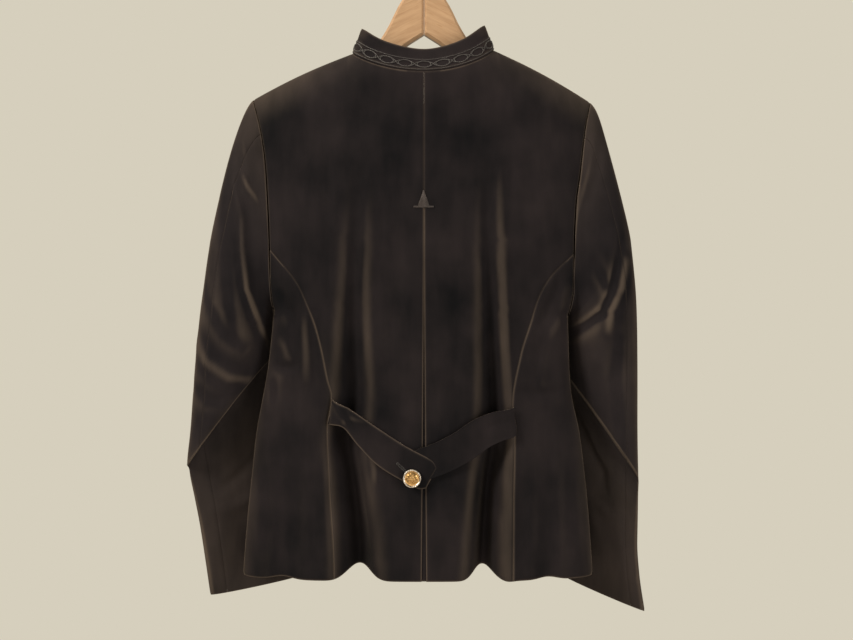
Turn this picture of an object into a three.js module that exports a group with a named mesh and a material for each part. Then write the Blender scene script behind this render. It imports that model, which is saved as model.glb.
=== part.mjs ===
// A velvet jacket hung on a wooden hanger.
// Millimetres, +Z up. The wearer's left is +X, the back faces +Y and the front faces -Y.
// Heights in the tables are measured up from the level of the hem, and the whole jacket hangs
// from the inside of the hook's crown, which is the origin.

import * as THREE from "three";

// Driving sizes
const CROWN_HEIGHT = 797; // hem level to the inside of the hook's crown
const CLOTH = 1.6; // thickness of the velvet
const SEAM = 0.3; // gap between pieces that are sewn together
const HEM_LEVEL = 4;
const HEM_RISE = 0.28; // how far the hem rises for each millimetre of fold depth
const BODY_FLATNESS = 0.55; // exponent of the body's cross-section, a circle at 1
const SHOULDER_ROUND = 60; // height over which the cloth turns over the shoulder
const TACK_HEIGHT = 452; // where the centre back seam ends and the pleat begins
const PLEAT_OPENING = 5.6; // between the centre back's edges at the hem
const BELT_THICKNESS = 2;
const COLLAR_THICKNESS = 2.4;
const COLLAR_HEIGHT = 32;
const COLLAR_GAP = 0.6; // above the neckline
const COLLAR_LEAN = 0.36; // inward travel for each millimetre of rise
const BUTTON_DIAMETER = 22;
const LAP = 20; // each front passes the centre by this much
const LAP_LIFT = CLOTH + 0.5; // the right front lies outside the left front
const HANGER_THICKNESS = 13;
const WIRE_DIAMETER = 3.4;
const HOOK_RADIUS = 21; // inside the hook's loop

// Neck and shoulder points of each side
const NECK = {
  left: { x: 88, height: 640 },
  right: { x: 86, height: 644 },
};
const SHOULDER_TIP = {
  left: { x: 210, height: 584 },
  right: { x: 204, height: 581 },
};
const NECK_PEAK = 666; // height that the shoulder lines would reach at the centre
const SHOULDER_CONVEX = 3; // how far a shoulder line bows up at its middle
const NECK_STEPS = 8; // from the centre to the side of the neck
const EDGE_FADE = 4; // how fast a panel's rows straighten away from its curved edges
const NECK_BACK = { height: 610, roundness: 0.69 };
const NECK_FRONT = { height: 556, roundness: 0.8 };

// Half width of the body up its height. Above the underarm this is the width that the rounded
// section would have if the armhole were not cut out of it.
const HALF_WIDTH = {
  left: [
    { h: -40, width: 222 },
    { h: 0, width: 221 },
    { h: 66, width: 216.5 },
    { h: 121, width: 211 },
    { h: 177, width: 205 },
    { h: 226, width: 196 },
    { h: 255, width: 191 },
    { h: 285, width: 187.5 },
    { h: 300, width: 186 },
    { h: 312, width: 185 },
    { h: 324, width: 183.5 },
    { h: 332, width: 186 },
    { h: 345, width: 190.5 },
    { h: 360, width: 195.5 },
    { h: 380, width: 199.5 },
    { h: 430, width: 203 },
    { h: 510, width: 206 },
    { h: 584, width: 215 },
    { h: 680, width: 222 },
  ],
  right: [
    { h: -40, width: 207 },
    { h: 0, width: 206 },
    { h: 66, width: 202 },
    { h: 121, width: 197 },
    { h: 177, width: 190 },
    { h: 226, width: 180 },
    { h: 255, width: 178 },
    { h: 285, width: 177 },
    { h: 300, width: 176.5 },
    { h: 312, width: 176 },
    { h: 318, width: 175.5 },
    { h: 326, width: 179 },
    { h: 340, width: 185 },
    { h: 354, width: 190 },
    { h: 374, width: 194 },
    { h: 430, width: 197 },
    { h: 510, width: 201 },
    { h: 584, width: 209 },
    { h: 680, width: 216 },
  ],
};

// How far the back and front stand from the side seams' plane
const DEPTH = [
  { h: -40, back: 53, front: 51 },
  { h: 0, back: 52, front: 50 },
  { h: 120, back: 46, front: 44 },
  { h: 200, back: 43, front: 41 },
  { h: 300, back: 45, front: 44 },
  { h: 400, back: 46, front: 48 },
  { h: 500, back: 42, front: 44 },
  { h: 600, back: 37, front: 35 },
  { h: 680, back: 36, front: 33 },
];

// Armhole edge of the back, from the underarm to the shoulder tip. The front's is scooped more.
const ARMHOLE = {
  left: [
    { h: 324, x: 183.5 },
    { h: 327.5, x: 184 },
    { h: 337, x: 185 },
    { h: 360, x: 186 },
    { h: 400, x: 186 },
    { h: 470, x: 189 },
    { h: 515, x: 193 },
    { h: 550, x: 199.5 },
    { h: 584, x: 210 },
  ],
  right: [
    { h: 318, x: 175.5 },
    { h: 321.5, x: 176.5 },
    { h: 331, x: 178.5 },
    { h: 350, x: 180.5 },
    { h: 396, x: 180.5 },
    { h: 453, x: 183 },
    { h: 487, x: 188 },
    { h: 545, x: 195.5 },
    { h: 581, x: 204 },
  ],
};
const ARMHOLE_SCOOP = 9;
const ARMHOLE_STEPS = 14; // from the shoulder tip down to the underarm, on the back and the front
const JUNCTION_STEP = 9; // where the princess seam meets the back's armhole

// Princess seams, from the hem up. Each ends on the armhole, at the junction.
const PRINCESS = {
  left: [
    { h: -40, x: 106 },
    { h: 15, x: 106.5 },
    { h: 115, x: 112.5 },
    { h: 184, x: 115.5 },
    { h: 222, x: 110.5 },
    { h: 242, x: 115.5 },
    { h: 278, x: 123 },
    { h: 307, x: 131 },
    { h: 332, x: 141 },
    { h: 355, x: 151.5 },
  ],
  right: [
    { h: -40, x: 105.5 },
    { h: 15, x: 106 },
    { h: 104, x: 107 },
    { h: 175, x: 108.5 },
    { h: 210, x: 106 },
    { h: 271, x: 116 },
    { h: 312, x: 129 },
    { h: 340, x: 138 },
    { h: 363, x: 151 },
  ],
};

// Large hanging folds, from the hem up. Depth is inward, so a ridge has a negative depth.
const FOLDS = [
  {
    name: "trough beside the left centre panel",
    face: "back",
    line: [
      { h: -20, x: 78, half: 27, depth: 44 },
      { h: 55, x: 80, half: 25, depth: 42 },
      { h: 121, x: 87, half: 22, depth: 38 },
      { h: 169, x: 93, half: 22, depth: 33 },
      { h: 217, x: 87, half: 21, depth: 27 },
      { h: 281, x: 86, half: 18, depth: 19 },
      { h: 371, x: 83, half: 15, depth: 9 },
      { h: 443, x: 78, half: 14, depth: 4 },
      { h: 520, x: 72, half: 14, depth: 0 },
    ],
  },
  {
    name: "trough beside the right centre panel",
    face: "back",
    line: [
      { h: -20, x: -70, half: 22, depth: 42 },
      { h: 55, x: -73, half: 19, depth: 40 },
      { h: 121, x: -78, half: 18, depth: 36 },
      { h: 169, x: -84, half: 19, depth: 31 },
      { h: 242, x: -82, half: 16, depth: 22 },
      { h: 346, x: -79, half: 14, depth: 12 },
      { h: 434, x: -77, half: 12, depth: 5 },
      { h: 510, x: -80, half: 12, depth: 0 },
    ],
  },
  {
    name: "ridge outside the right trough",
    face: "back",
    line: [
      { h: -20, x: -100, half: 14, depth: -2 },
      { h: 121, x: -101, half: 13, depth: -4 },
      { h: 242, x: -99, half: 12, depth: -3 },
      { h: 346, x: -95, half: 11, depth: -3 },
      { h: 500, x: -90, half: 11, depth: 0 },
    ],
  },
  {
    name: "fold below the left armpit",
    face: "back",
    line: [
      { h: 140, x: 165, half: 20, depth: 0 },
      { h: 220, x: 160, half: 18, depth: 5 },
      { h: 300, x: 158, half: 16, depth: 6 },
      { h: 350, x: 160, half: 14, depth: 0 },
    ],
  },
  {
    name: "fold from the left side to the hem",
    face: "back",
    line: [
      { h: -20, x: 170, half: 24, depth: 10 },
      { h: 90, x: 168, half: 22, depth: 6 },
      { h: 180, x: 166, half: 20, depth: 0 },
    ],
  },
  {
    name: "fold from the right side to the hem",
    face: "back",
    line: [
      { h: -20, x: -148, half: 22, depth: 9 },
      { h: 110, x: -150, half: 20, depth: 5 },
      { h: 230, x: -146, half: 18, depth: 0 },
    ],
  },
  {
    name: "left front fold",
    face: "front",
    line: [
      { h: -20, x: 92, half: 26, depth: 22 },
      { h: 120, x: 96, half: 24, depth: 15 },
      { h: 260, x: 98, half: 22, depth: 8 },
      { h: 420, x: 94, half: 20, depth: 0 },
    ],
  },
  {
    name: "right front fold",
    face: "front",
    line: [
      { h: -20, x: -98, half: 25, depth: 19 },
      { h: 120, x: -96, half: 24, depth: 13 },
      { h: 260, x: -92, half: 22, depth: 8 },
      { h: 400, x: -94, half: 20, depth: 0 },
    ],
  },
];

// Sleeve sections, from the armhole to the cuff. Each is a flattened ring between an outer and an
// inner edge, swollen to the back and the front, whose back layer may be tucked up under a fold.
// Forward is how far the inner edge bends forward, before the side of the body. Loose is 0 on the
// armhole and 1 once the section no longer follows it.
const SLEEVE = {
  left: [
    ring(0, [212, 0, 584], [184, 0, 325], 30, 30, 0, 0, 0),
    ring(0.3, [229, 0, 558], [187.5, 1, 336], 30, 30, 0, 0, 0.35),
    ring(0.62, [247, 1, 498], [187.5, 2, 331], 31, 30, 0, 5, 0.7),
    ring(1, [262, 2, 410], [187.5, 3, 319], 31, 28, 0, 16, 1),
    ring(2, [273, 3, 333], [186, 4, 302], 30, 26, 0, 32, 1),
    ring(3, [281, 2, 255], [186.5, 2, 290], 28, 24, 0, 31, 1),
    ring(4, [287, 0, 180], [187.5, -2, 279], 25, 22, 0, 27, 1),
    ring(5, [292, -3, 134], [189, -6, 268], 22, 20, 0, 23, 1),
    ring(5.3, [291, -6, 128], [189.5, -10, 262], 9, 18, 8, 20, 1),
    ring(5.6, [290, -8, 118], [189, -16, 250], 4, 17, 6, 16, 1),
    ring(6.2, [286, -14, 92], [180, -34, 216], 8, 16, 0, 6, 1),
    ring(7, [280, -18, 56], [169, -50, 150], 13, 15, 0, 0, 1),
    ring(8, [274, -20, 14], [159, -60, 66], 14, 15, 0, 0, 1),
    ring(9, [268, -22, -31], [153, -64, -16], 13, 14, 0, 0, 1),
  ],
  right: [
    ring(0, [206, 0, 581], [176, 0, 319], 30, 30, 0, 0, 0),
    ring(0.3, [223, 0, 556], [181.5, 0, 330], 30, 30, 0, 0, 0.35),
    ring(0.62, [237, 0, 495], [181.5, 0, 325], 30, 30, 0, 5, 0.7),
    ring(1, [254, 0, 410], [180, 0, 313], 30, 28, 0, 15, 1),
    ring(2, [261, 0, 330], [177, -1, 294], 29, 26, 0, 28, 1),
    ring(3, [263, -3, 254], [176.5, -6, 280], 26, 24, 0, 24, 1),
    ring(4, [264, -7, 180], [177, -14, 264], 23, 22, 0, 16, 1),
    ring(5, [266, -11, 120], [178.5, -24, 246], 20, 20, 0, 9, 1),
    ring(5.3, [267, -13, 108], [179, -28, 238], 12, 19, 4, 6, 1),
    ring(5.6, [267, -15, 96], [180, -34, 226], 9, 18, 3, 4, 1),
    ring(6.2, [267, -17, 72], [181, -42, 190], 12, 17, 0, 0, 1),
    ring(7, [267, -20, 36], [180, -50, 130], 14, 16, 0, 0, 1),
    ring(8, [270, -22, -6], [180, -57, 56], 14, 15, 0, 0, 1),
    ring(9, [277, -24, -52], [180, -62, -18], 14, 14, 0, 0, 1),
  ],
};
const SLEEVE_HEAD = 0.3; // where the sleeve has left the armhole
const ARMHOLE_EASE = 1.15; // wider gap at the underarm, where the sleeve turns down sharply
const SLEEVE_SEAM = 0.9; // gap along the sleeve's own seams, which run over its folds
const SLEEVE_BACK_SEAM = 4; // armhole steps from the shoulder tip, on the back
const SLEEVE_FRONT_SEAM = 8; // and on the front
const SLEEVE_BEND = 6; // how close to the inner edge the sleeve bends forward
const SLEEVE_FULLNESS = 0.8; // exponent of the swelling, an ellipse at 1

// Centre lines of the half belt's two parts, from the seam to the free end. Off is the distance
// from the unfolded back to the belt's inner face, which bridges the folds and laps at the centre.
const BELT = {
  left: [
    { t: 0, x: 112, h: 205, width: 33, off: 0.7 },
    { t: 0.22, x: 90, h: 195, width: 23, off: 3.6 },
    { t: 0.45, x: 66, h: 174, width: 31, off: 4.6 },
    { t: 0.7, x: 40, h: 153, width: 37, off: 3.8 },
    { t: 1, x: -9, h: 126, width: 38, off: 3.1 },
  ],
  right: [
    { t: 0, x: -105, h: 193, width: 34, off: 1 },
    { t: 0.3, x: -72, h: 181, width: 37, off: 4.9 },
    { t: 0.55, x: -42, h: 161, width: 38, off: 2.4 },
    { t: 0.75, x: -18, h: 149, width: 38, off: 0.6 },
    { t: 1, x: 24, h: 135, width: 37, off: 0.5 },
  ],
};
const BELT_BUTTON = { x: 14, height: 126 };

// Profile of a shank button, from the shank's foot to the middle of the dome
const BUTTON = [
  [0, 0],
  [3, 0],
  [3, 1.6],
  [9.4, 1.6],
  [BUTTON_DIAMETER / 2, 2.8],
  [10.2, 4],
  [8.4, 3.6],
  [5, 4.7],
  [0, 5.1],
].map(([radius, height]) => new THREE.Vector2(radius, height));

const FRONT_BUTTON_TOP = 530;
const FRONT_BUTTON_STEP = 76;
const FRONT_BUTTONS = 6;

// Hanger. Its top edge rises to the neck's arch, and its lower edge is notched under the mitre.
const HANGER_NECK = [
  { x: 0, h: 719 },
  { x: 14, h: 717 },
  { x: 24, h: 710 },
  { x: 32.4, h: 697 },
  { x: 42, h: 677 },
  { x: 52, h: 660 },
  { x: 62, h: 645 },
  { x: 76, h: 634.5 },
];
const HANGER_UNDER = [
  { x: 0, h: 664 },
  { x: 10, h: 658 },
  { x: 33, h: 641.5 },
  { x: 60, h: 619 },
  { x: 100, h: 592 },
  { x: 150, h: 568 },
  { x: 200, h: 549 },
];
const HANGER_CLEARANCE = 1.1; // under the cloth, at the middle of the arm's thickness
const HANGER_SINK = 3.2; // how much further the narrowing shoulder leaves the arm's end below it
const HANGER_MITRE_GAP = 0.3;
const HANGER_END = 26; // from the shoulder tip to where the arm's end turns down

// Profile of the ferrule, which stands on the arch
const FERRULE_HEIGHT = 8;
const FERRULE_FOOT = HANGER_NECK[0].h + SEAM;
const FERRULE = [
  [0, 0],
  [7.5, 0],
  [7.5, 2],
  [5, 3.4],
  [4.4, FERRULE_HEIGHT],
  [0, FERRULE_HEIGHT],
].map(([radius, height]) => new THREE.Vector2(radius, FERRULE_FOOT + height));

const SLEEVE_ROWS = [0, 0.3, 0.62, 1, 1.5, 2, 3, 4, 4.7, 5, 5.15, 5.3, 5.6, 6.2, 7, 8, 9];

// Materials
const velvet = cloth(0x262223);
const sleeveVelvet = cloth(0x2c292a);
const brass = new THREE.MeshStandardMaterial({
  color: 0xaf9370,
  roughness: 0.35,
  metalness: 1,
});
const beech = new THREE.MeshStandardMaterial({
  color: 0xc49a6d,
  roughness: 0.5,
  metalness: 0,
});
const steel = new THREE.MeshStandardMaterial({
  color: 0xb8b8b6,
  roughness: 0.3,
  metalness: 1,
});

function cloth(color) {
  return new THREE.MeshStandardMaterial({ color, roughness: 0.95, metalness: 0 });
}

function ring(at, outer, inner, back, front, tuck, forward, loose) {
  const [ox, oy, oh] = outer;
  const [ix, iy, ih] = inner;
  return { at, ox, oy, oh, ix, iy, ih, back, front, tuck, forward, loose };
}

// Curves through the tables

// Smooth value of a column at a key, without overshoot, from rows in ascending order of the key.
function through(rows, key, column, value) {
  const last = rows.length - 1;
  if (value <= rows[0][key]) return rows[0][column];
  if (value >= rows[last][key]) return rows[last][column];
  let i = 0;
  while (rows[i + 1][key] < value) i++;
  const span = rows[i + 1][key] - rows[i][key];
  const t = (value - rows[i][key]) / span;
  const a = rows[i][column];
  const b = rows[i + 1][column];
  const ma = slope(rows, key, column, i) * span;
  const mb = slope(rows, key, column, i + 1) * span;
  const t2 = t * t;
  const t3 = t2 * t;
  return (
    (2 * t3 - 3 * t2 + 1) * a + (t3 - 2 * t2 + t) * ma + (3 * t2 - 2 * t3) * b + (t3 - t2) * mb
  );
}

function slope(rows, key, column, i) {
  const rise = (j) => (rows[j + 1][column] - rows[j][column]) / (rows[j + 1][key] - rows[j][key]);
  if (i === 0) return rise(0);
  if (i === rows.length - 1) return rise(i - 1);
  const before = rise(i - 1);
  const after = rise(i);
  return before * after <= 0 ? 0 : (2 * before * after) / (before + after);
}

function smooth(from, to, value) {
  return THREE.MathUtils.smoothstep(value, from, to);
}

function sideOf(x) {
  return x >= 0 ? "left" : "right";
}

const SIDES = { left: 1, right: -1 };

// The body

// Height of the top of the shoulder above a point x.
function shoulderHeight(x) {
  const side = sideOf(x);
  const neck = NECK[side];
  const tip = SHOULDER_TIP[side];
  const across = Math.abs(x);
  if (across < neck.x) {
    const slopeAtNeck = (neck.height - tip.height) / (tip.x - neck.x);
    const inward = (neck.x - across) / neck.x;
    const rise = NECK_PEAK - neck.height;
    return neck.height + slopeAtNeck * neck.x * inward * (1 - inward) + rise * inward * inward;
  }
  const along = (across - neck.x) / (tip.x - neck.x);
  const bow = SHOULDER_CONVEX * Math.sin(Math.PI * Math.min(along, 1));
  return neck.height + (tip.height - neck.height) * along + bow;
}

// The cloth's own height, which runs on evenly where it turns over the shoulder.
function clothHeight(x, height) {
  const start = shoulderHeight(x) - SHOULDER_ROUND;
  if (height <= start) return height;
  const rise = Math.min((height - start) / SHOULDER_ROUND, 1);
  return start + (SHOULDER_ROUND * Math.asin(rise)) / (Math.PI / 2);
}

function foldDepth(face, x, height) {
  let depth = 0;
  for (const fold of FOLDS) {
    if (fold.face !== face) continue;
    const offset = (x - through(fold.line, "h", "x", height)) / through(fold.line, "h", "half", height);
    depth += through(fold.line, "h", "depth", height) * Math.exp(-2.2 * offset * offset);
  }
  return depth;
}

// Point of the cloth's outer face, from its place across the body (an angle share from -1 to 1)
// and the cloth's own height.
function bodyPoint(face, across, own, folded = true) {
  const side = sideOf(across);
  const estimate = HALF_WIDTH[side][HALF_WIDTH[side].length - 1].width;
  let x = estimate * Math.sin((Math.PI / 2) * across);
  let height = own;
  let turn = 0;
  for (let i = 0; i < 6; i++) {
    const start = shoulderHeight(x) - SHOULDER_ROUND;
    turn = THREE.MathUtils.clamp((own - start) / SHOULDER_ROUND, 0, 1);
    height = turn > 0 ? start + SHOULDER_ROUND * Math.sin((Math.PI / 2) * turn) : own;
    x = through(HALF_WIDTH[side], "h", "width", height) * Math.sin((Math.PI / 2) * across);
  }
  const outward = face === "back" ? 1 : -1;
  const section = Math.cos((Math.PI / 2) * Math.min(Math.abs(across), 1));
  let depth = through(DEPTH, "h", face, height) * Math.max(section, 0) ** BODY_FLATNESS;
  if (folded) depth -= foldDepth(face, x, height) * section;
  const over = Math.cos((Math.PI / 2) * turn);
  return new THREE.Vector3(x, outward * (SEAM / 2 + depth * over), height);
}

// Place across the body of a point x at a height.
function acrossAt(x, height) {
  const width = through(HALF_WIDTH[sideOf(x)], "h", "width", height);
  return Math.asin(THREE.MathUtils.clamp(x / width, -1, 1)) / (Math.PI / 2);
}

function bodyNormal(face, across, own, folded = true) {
  const step = 0.004;
  const rise = 0.8;
  const inside = THREE.MathUtils.clamp(across, -1 + step, 1 - step);
  const topEnd = shoulderHeight(bodyPoint(face, inside, own, false).x);
  const level = Math.min(own, topEnd - rise);
  const at = (a, s) => bodyPoint(face, a, s, folded);
  const sideways = at(inside + step, level).sub(at(inside - step, level));
  const upwards = at(inside, level + rise).sub(at(inside, level - rise));
  const normal = upwards.cross(sideways).normalize();
  return face === "back" ? normal : normal.negate();
}

// Edges of the cloth

function hemHeight(face, x) {
  return HEM_LEVEL + HEM_RISE * foldDepth(face, x, 0);
}

function neckHeight(face, x) {
  const neck = NECK[sideOf(x)];
  const cut = face === "back" ? NECK_BACK : NECK_FRONT;
  const inward = Math.max(1 - (x / neck.x) ** 2, 0);
  return neck.height - (neck.height - cut.height) * inward ** cut.roundness;
}

function armholeX(face, side, height) {
  const rows = ARMHOLE[side];
  const low = rows[0].h;
  const high = rows[rows.length - 1].h;
  const share = THREE.MathUtils.clamp((height - low) / (high - low), 0, 1);
  const scoop = face === "front" ? ARMHOLE_SCOOP * Math.sin(Math.PI * share) : 0;
  return through(rows, "h", "x", height) - scoop;
}

// Panels. A panel is a patch between four edges. Each edge gives the place across the body and the
// cloth's own height at a share from 0 to 1.

function place(across, own) {
  return { across, own };
}

// An upright edge whose x is known at each height.
function uprightEdge(xAt, from, to) {
  return (t) => {
    const own = from + (to - from) * t;
    let height = own;
    for (let i = 0; i < 6; i++) {
      const start = shoulderHeight(xAt(height)) - SHOULDER_ROUND;
      const turn = THREE.MathUtils.clamp((own - start) / SHOULDER_ROUND, 0, 1);
      height = turn > 0 ? start + SHOULDER_ROUND * Math.sin((Math.PI / 2) * turn) : own;
    }
    return place(acrossAt(xAt(height), height), own);
  };
}

function hemEdge(face, from, to) {
  return (t) => {
    const across = from + (to - from) * t;
    const x = bodyPoint(face, across, HEM_LEVEL).x;
    return place(across, hemHeight(face, x));
  };
}

// The neckline from the centre, or from beyond it, to the side of the neck, then the shoulder. The
// share counts steps: one beyond the centre, which falls 1 mm, the neckline's and the shoulder's.
function neckAndShoulderEdge(face, side, beyond, shoulderSteps) {
  const sign = SIDES[side];
  const neck = NECK[side];
  const tip = SHOULDER_TIP[side];
  const extra = beyond > SEAM ? 1 : 0;
  const total = extra + NECK_STEPS + shoulderSteps;
  return (t) => {
    const step = t * total - extra;
    if (step <= NECK_STEPS) {
      const inside = neck.x * Math.sin(((Math.PI / 2) * Math.max(step, 0)) / NECK_STEPS);
      const x = sign * (step < 0 ? beyond * step : Math.max(inside, extra ? 0 : SEAM / 2));
      const height = neckHeight(face, x) + Math.min(step, 0);
      return place(acrossAt(x, height), clothHeight(x, height));
    }
    const x = sign * (neck.x + ((tip.x - neck.x) * (step - NECK_STEPS)) / shoulderSteps);
    const height = shoulderHeight(x);
    return place(acrossAt(x, height), height);
  };
}

// A panel's grid between its four edges. What the bottom and the top edge add to straight rows fades
// away from them.
function patch(bottom, top, start, end) {
  const straight = (key, u, first, last) => (1 - u) * first[key] + u * last[key];
  const blend = (key, u, v) => {
    const row = straight(key, u, start(v), end(v));
    const low = bottom(u)[key] - straight(key, u, bottom(0), bottom(1));
    const high = top(u)[key] - straight(key, u, top(0), top(1));
    return row + (1 - v) ** EDGE_FADE * low + v ** EDGE_FADE * high;
  };
  return (u, v) => place(blend("across", u, v), blend("own", u, v));
}

function evenly(steps, from = 0, to = 1) {
  return Array.from({ length: steps + 1 }, (_, i) => from + ((to - from) * i) / steps);
}

// Cloth height of a step down the armhole.
function armholeHeight(side, step) {
  const tip = SHOULDER_TIP[side].height;
  const low = ARMHOLE[side][0].h;
  return tip - ((tip - low) * (1 - Math.cos((Math.PI * step) / ARMHOLE_STEPS))) / 2;
}

function princessX(side, height) {
  const junction = armholeHeight(side, JUNCTION_STEP);
  const end = { h: junction, x: armholeX("back", side, junction) };
  return through([...PRINCESS[side], end], "h", "x", height);
}

function panelGeometry(face, at, columns, rows, lift = () => 0) {
  const outer = [];
  const inner = [];
  for (const v of rows) {
    const places = columns.map((u) => at(u, v));
    const normals = places.map(({ across, own }) => bodyNormal(face, across, own));
    const points = places.map(({ across, own }) => bodyPoint(face, across, own));
    points.forEach((point, i) => point.addScaledVector(normals[i], lift(point.x)));
    outer.push(points);
    inner.push(points.map((point, i) => point.clone().addScaledVector(normals[i], -CLOTH)));
  }
  return wallGeometry(outer, inner);
}

// The sleeves

// Point of the armhole's edge at a share of the way round it, from the shoulder tip by way of the
// back, with the body's normal there.
function armholePlace(side, around) {
  const sign = side === "left" ? 1 : -1;
  const face = around < 0.5 ? "back" : "front";
  const low = ARMHOLE[side][0].h;
  const down = (1 - Math.cos(2 * Math.PI * around)) / 2;
  const top = SHOULDER_TIP[side].height;
  const edge = uprightEdge((h) => sign * armholeX(face, side, h), top, low);
  const { across, own } = edge(down);
  return { point: bodyPoint(face, across, own), normal: bodyNormal(face, across, own), down };
}

// The sleeve's first section lies a seam's gap from the armhole, towards the middle of the hole.
function sleeveHead(side, around) {
  const sign = side === "left" ? 1 : -1;
  const turn = ((around % 1) + 1) % 1;
  const { point, normal, down } = armholePlace(side, turn);
  const step = 0.004;
  const ahead = armholePlace(side, (turn + step) % 1).point;
  const behind = armholePlace(side, (turn + 1 - step) % 1).point;
  const away = ahead.sub(behind).cross(normal).normalize();
  const middle = new THREE.Vector3(sign * (SHOULDER_TIP[side].x + 25), 0, 450);
  if (away.dot(middle.sub(point)) < 0) away.negate();
  const gap = away.multiplyScalar(SEAM + ARMHOLE_EASE * down).addScaledVector(normal, ARMHOLE_EASE * down);
  return { point: point.add(gap), normal, down };
}

// Point of the sleeve's outer face, round it from its outer edge by way of the back.
function sleevePoint(side, around, along) {
  const sign = side === "left" ? 1 : -1;
  const rows = SLEEVE[side];
  const value = (column) => through(rows, "at", column, along);
  const inward = (1 - Math.cos(2 * Math.PI * around)) / 2;
  const swing = Math.sin(2 * Math.PI * around);
  const swell = Math.sign(swing) * Math.abs(swing) ** SLEEVE_FULLNESS;
  const outer = new THREE.Vector3(sign * value("ox"), value("oy"), value("oh"));
  const inner = new THREE.Vector3(sign * value("ix"), value("iy"), value("ih"));
  const free = outer.lerp(inner, inward);
  free.y += swell * (swing > 0 ? value("back") : value("front"));
  free.y -= value("forward") * inward ** SLEEVE_BEND;
  free.z += value("tuck") * Math.sqrt(Math.max(swing, 0));
  return sleeveHead(side, around).point.lerp(free, value("loose"));
}

function sleeveNormal(side, around, along) {
  const turn = 0.004;
  const step = 0.02;
  const last = SLEEVE[side][SLEEVE[side].length - 1].at;
  const level = THREE.MathUtils.clamp(along, SLEEVE_HEAD, last - step);
  const round = sleevePoint(side, around + turn, level).sub(sleevePoint(side, around - turn, level));
  const down = sleevePoint(side, around, level + step).sub(sleevePoint(side, around, level - step));
  const normal = round.cross(down).normalize();
  const own = side === "left" ? normal : normal.negate();
  if (along >= 1) return own;
  const head = sleeveHead(side, around);
  const body = head.normal.lerp(own, head.down ** 4);
  return body.lerp(own, smooth(0, 1, along)).normalize();
}

function sleeveGeometry(side, from, to) {
  const outer = [];
  const inner = [];
  for (const along of SLEEVE_ROWS) {
    const outerRow = [];
    const innerRow = [];
    for (let step = from; step <= to; step++) {
      const end = step === from ? 1 : step === to ? -1 : 0;
      const plain = step / (2 * ARMHOLE_STEPS);
      const around = plain + end * seamShare(side, plain, along);
      const point = sleevePoint(side, around, along);
      outerRow.push(point);
      innerRow.push(point.clone().addScaledVector(sleeveNormal(side, around, along), -CLOTH));
    }
    outer.push(outerRow);
    inner.push(innerRow);
  }
  return wallGeometry(outer, inner);
}

// Half a seam's gap, as a share of the way round the sleeve.
function seamShare(side, around, along) {
  const step = 0.002;
  const ahead = sleevePoint(side, around + step, along);
  return (step * SLEEVE_SEAM) / 2 / ahead.distanceTo(sleevePoint(side, around, along));
}

// Solids

// A closed wall between an outer and an inner grid of points.
function wallGeometry(outer, inner) {
  const rows = outer.length;
  const columns = outer[0].length;
  const vertices = [];
  for (const row of [...outer, ...inner]) {
    for (const point of row) vertices.push(point.x, point.y, point.z);
  }
  const index = (layer, i, j) => (layer * rows + i) * columns + j;
  const faces = [];
  const quad = (a, b, c, d) => faces.push(a, b, c, a, c, d);
  const top = rows - 1;
  const end = columns - 1;
  for (let i = 0; i < top; i++) {
    for (let j = 0; j < end; j++) {
      quad(index(0, i, j), index(0, i, j + 1), index(0, i + 1, j + 1), index(0, i + 1, j));
      quad(index(1, i, j), index(1, i + 1, j), index(1, i + 1, j + 1), index(1, i, j + 1));
    }
    quad(index(0, i, 0), index(0, i + 1, 0), index(1, i + 1, 0), index(1, i, 0));
    quad(index(0, i + 1, end), index(0, i, end), index(1, i, end), index(1, i + 1, end));
  }
  for (let j = 0; j < end; j++) {
    quad(index(0, 0, j + 1), index(0, 0, j), index(1, 0, j), index(1, 0, j + 1));
    quad(index(0, top, j), index(0, top, j + 1), index(1, top, j + 1), index(1, top, j));
  }
  if (signedVolume(vertices, faces) < 0) faces.reverse();
  const geometry = new THREE.BufferGeometry();
  geometry.setAttribute("position", new THREE.Float32BufferAttribute(vertices, 3));
  geometry.setIndex(faces);
  geometry.computeVertexNormals();
  return geometry;
}

function signedVolume(vertices, faces) {
  const corner = (i) => new THREE.Vector3().fromArray(vertices, 3 * faces[i]);
  let sum = 0;
  for (let i = 0; i < faces.length; i += 3) {
    sum += corner(i).dot(corner(i + 1).cross(corner(i + 2)));
  }
  return sum;
}

// How far the right front is lifted where it laps over the left.
function overLap(x) {
  return LAP_LIFT * smooth(-LAP - 22, -LAP - 4, x);
}

// Foot of the collar at a share of the way round the neck, 0 at the centre back and 1 or -1 at the
// centre front, with the directions up the collar and out of it.
function collarFoot(share) {
  const step = 0.002;
  const point = neckPoint(share);
  const ahead = neckPoint(Math.min(share + step, 1));
  const behind = neckPoint(Math.max(share - step, -1));
  const along = ahead.sub(behind).normalize();
  const inward = new THREE.Vector3(-point.x, -point.y, 0).normalize();
  const rising = inward.multiplyScalar(COLLAR_LEAN).add(new THREE.Vector3(0, 0, 1));
  const up = rising.addScaledVector(along, -rising.dot(along)).normalize();
  const outward = up.clone().cross(along).normalize();
  if (outward.dot(point.clone().setZ(0)) < 0) outward.negate();
  return { foot: point, up, outward };
}

// How far the inner edge of the collar's foot is raised to clear the body's cut edge.
function footClearance(share, up, outward) {
  const face = Math.abs(share) <= 0.5 ? "back" : "front";
  const point = neckPoint(share);
  const own = clothHeight(point.x, point.z);
  const normal = bodyNormal(face, acrossAt(point.x, point.z), own);
  const edge = up.clone().addScaledVector(normal, -up.dot(normal)).normalize();
  const reach = COLLAR_GAP * up.dot(edge) - COLLAR_THICKNESS * outward.dot(edge);
  return edge.multiplyScalar(Math.max(COLLAR_GAP - reach, 0));
}

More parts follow.
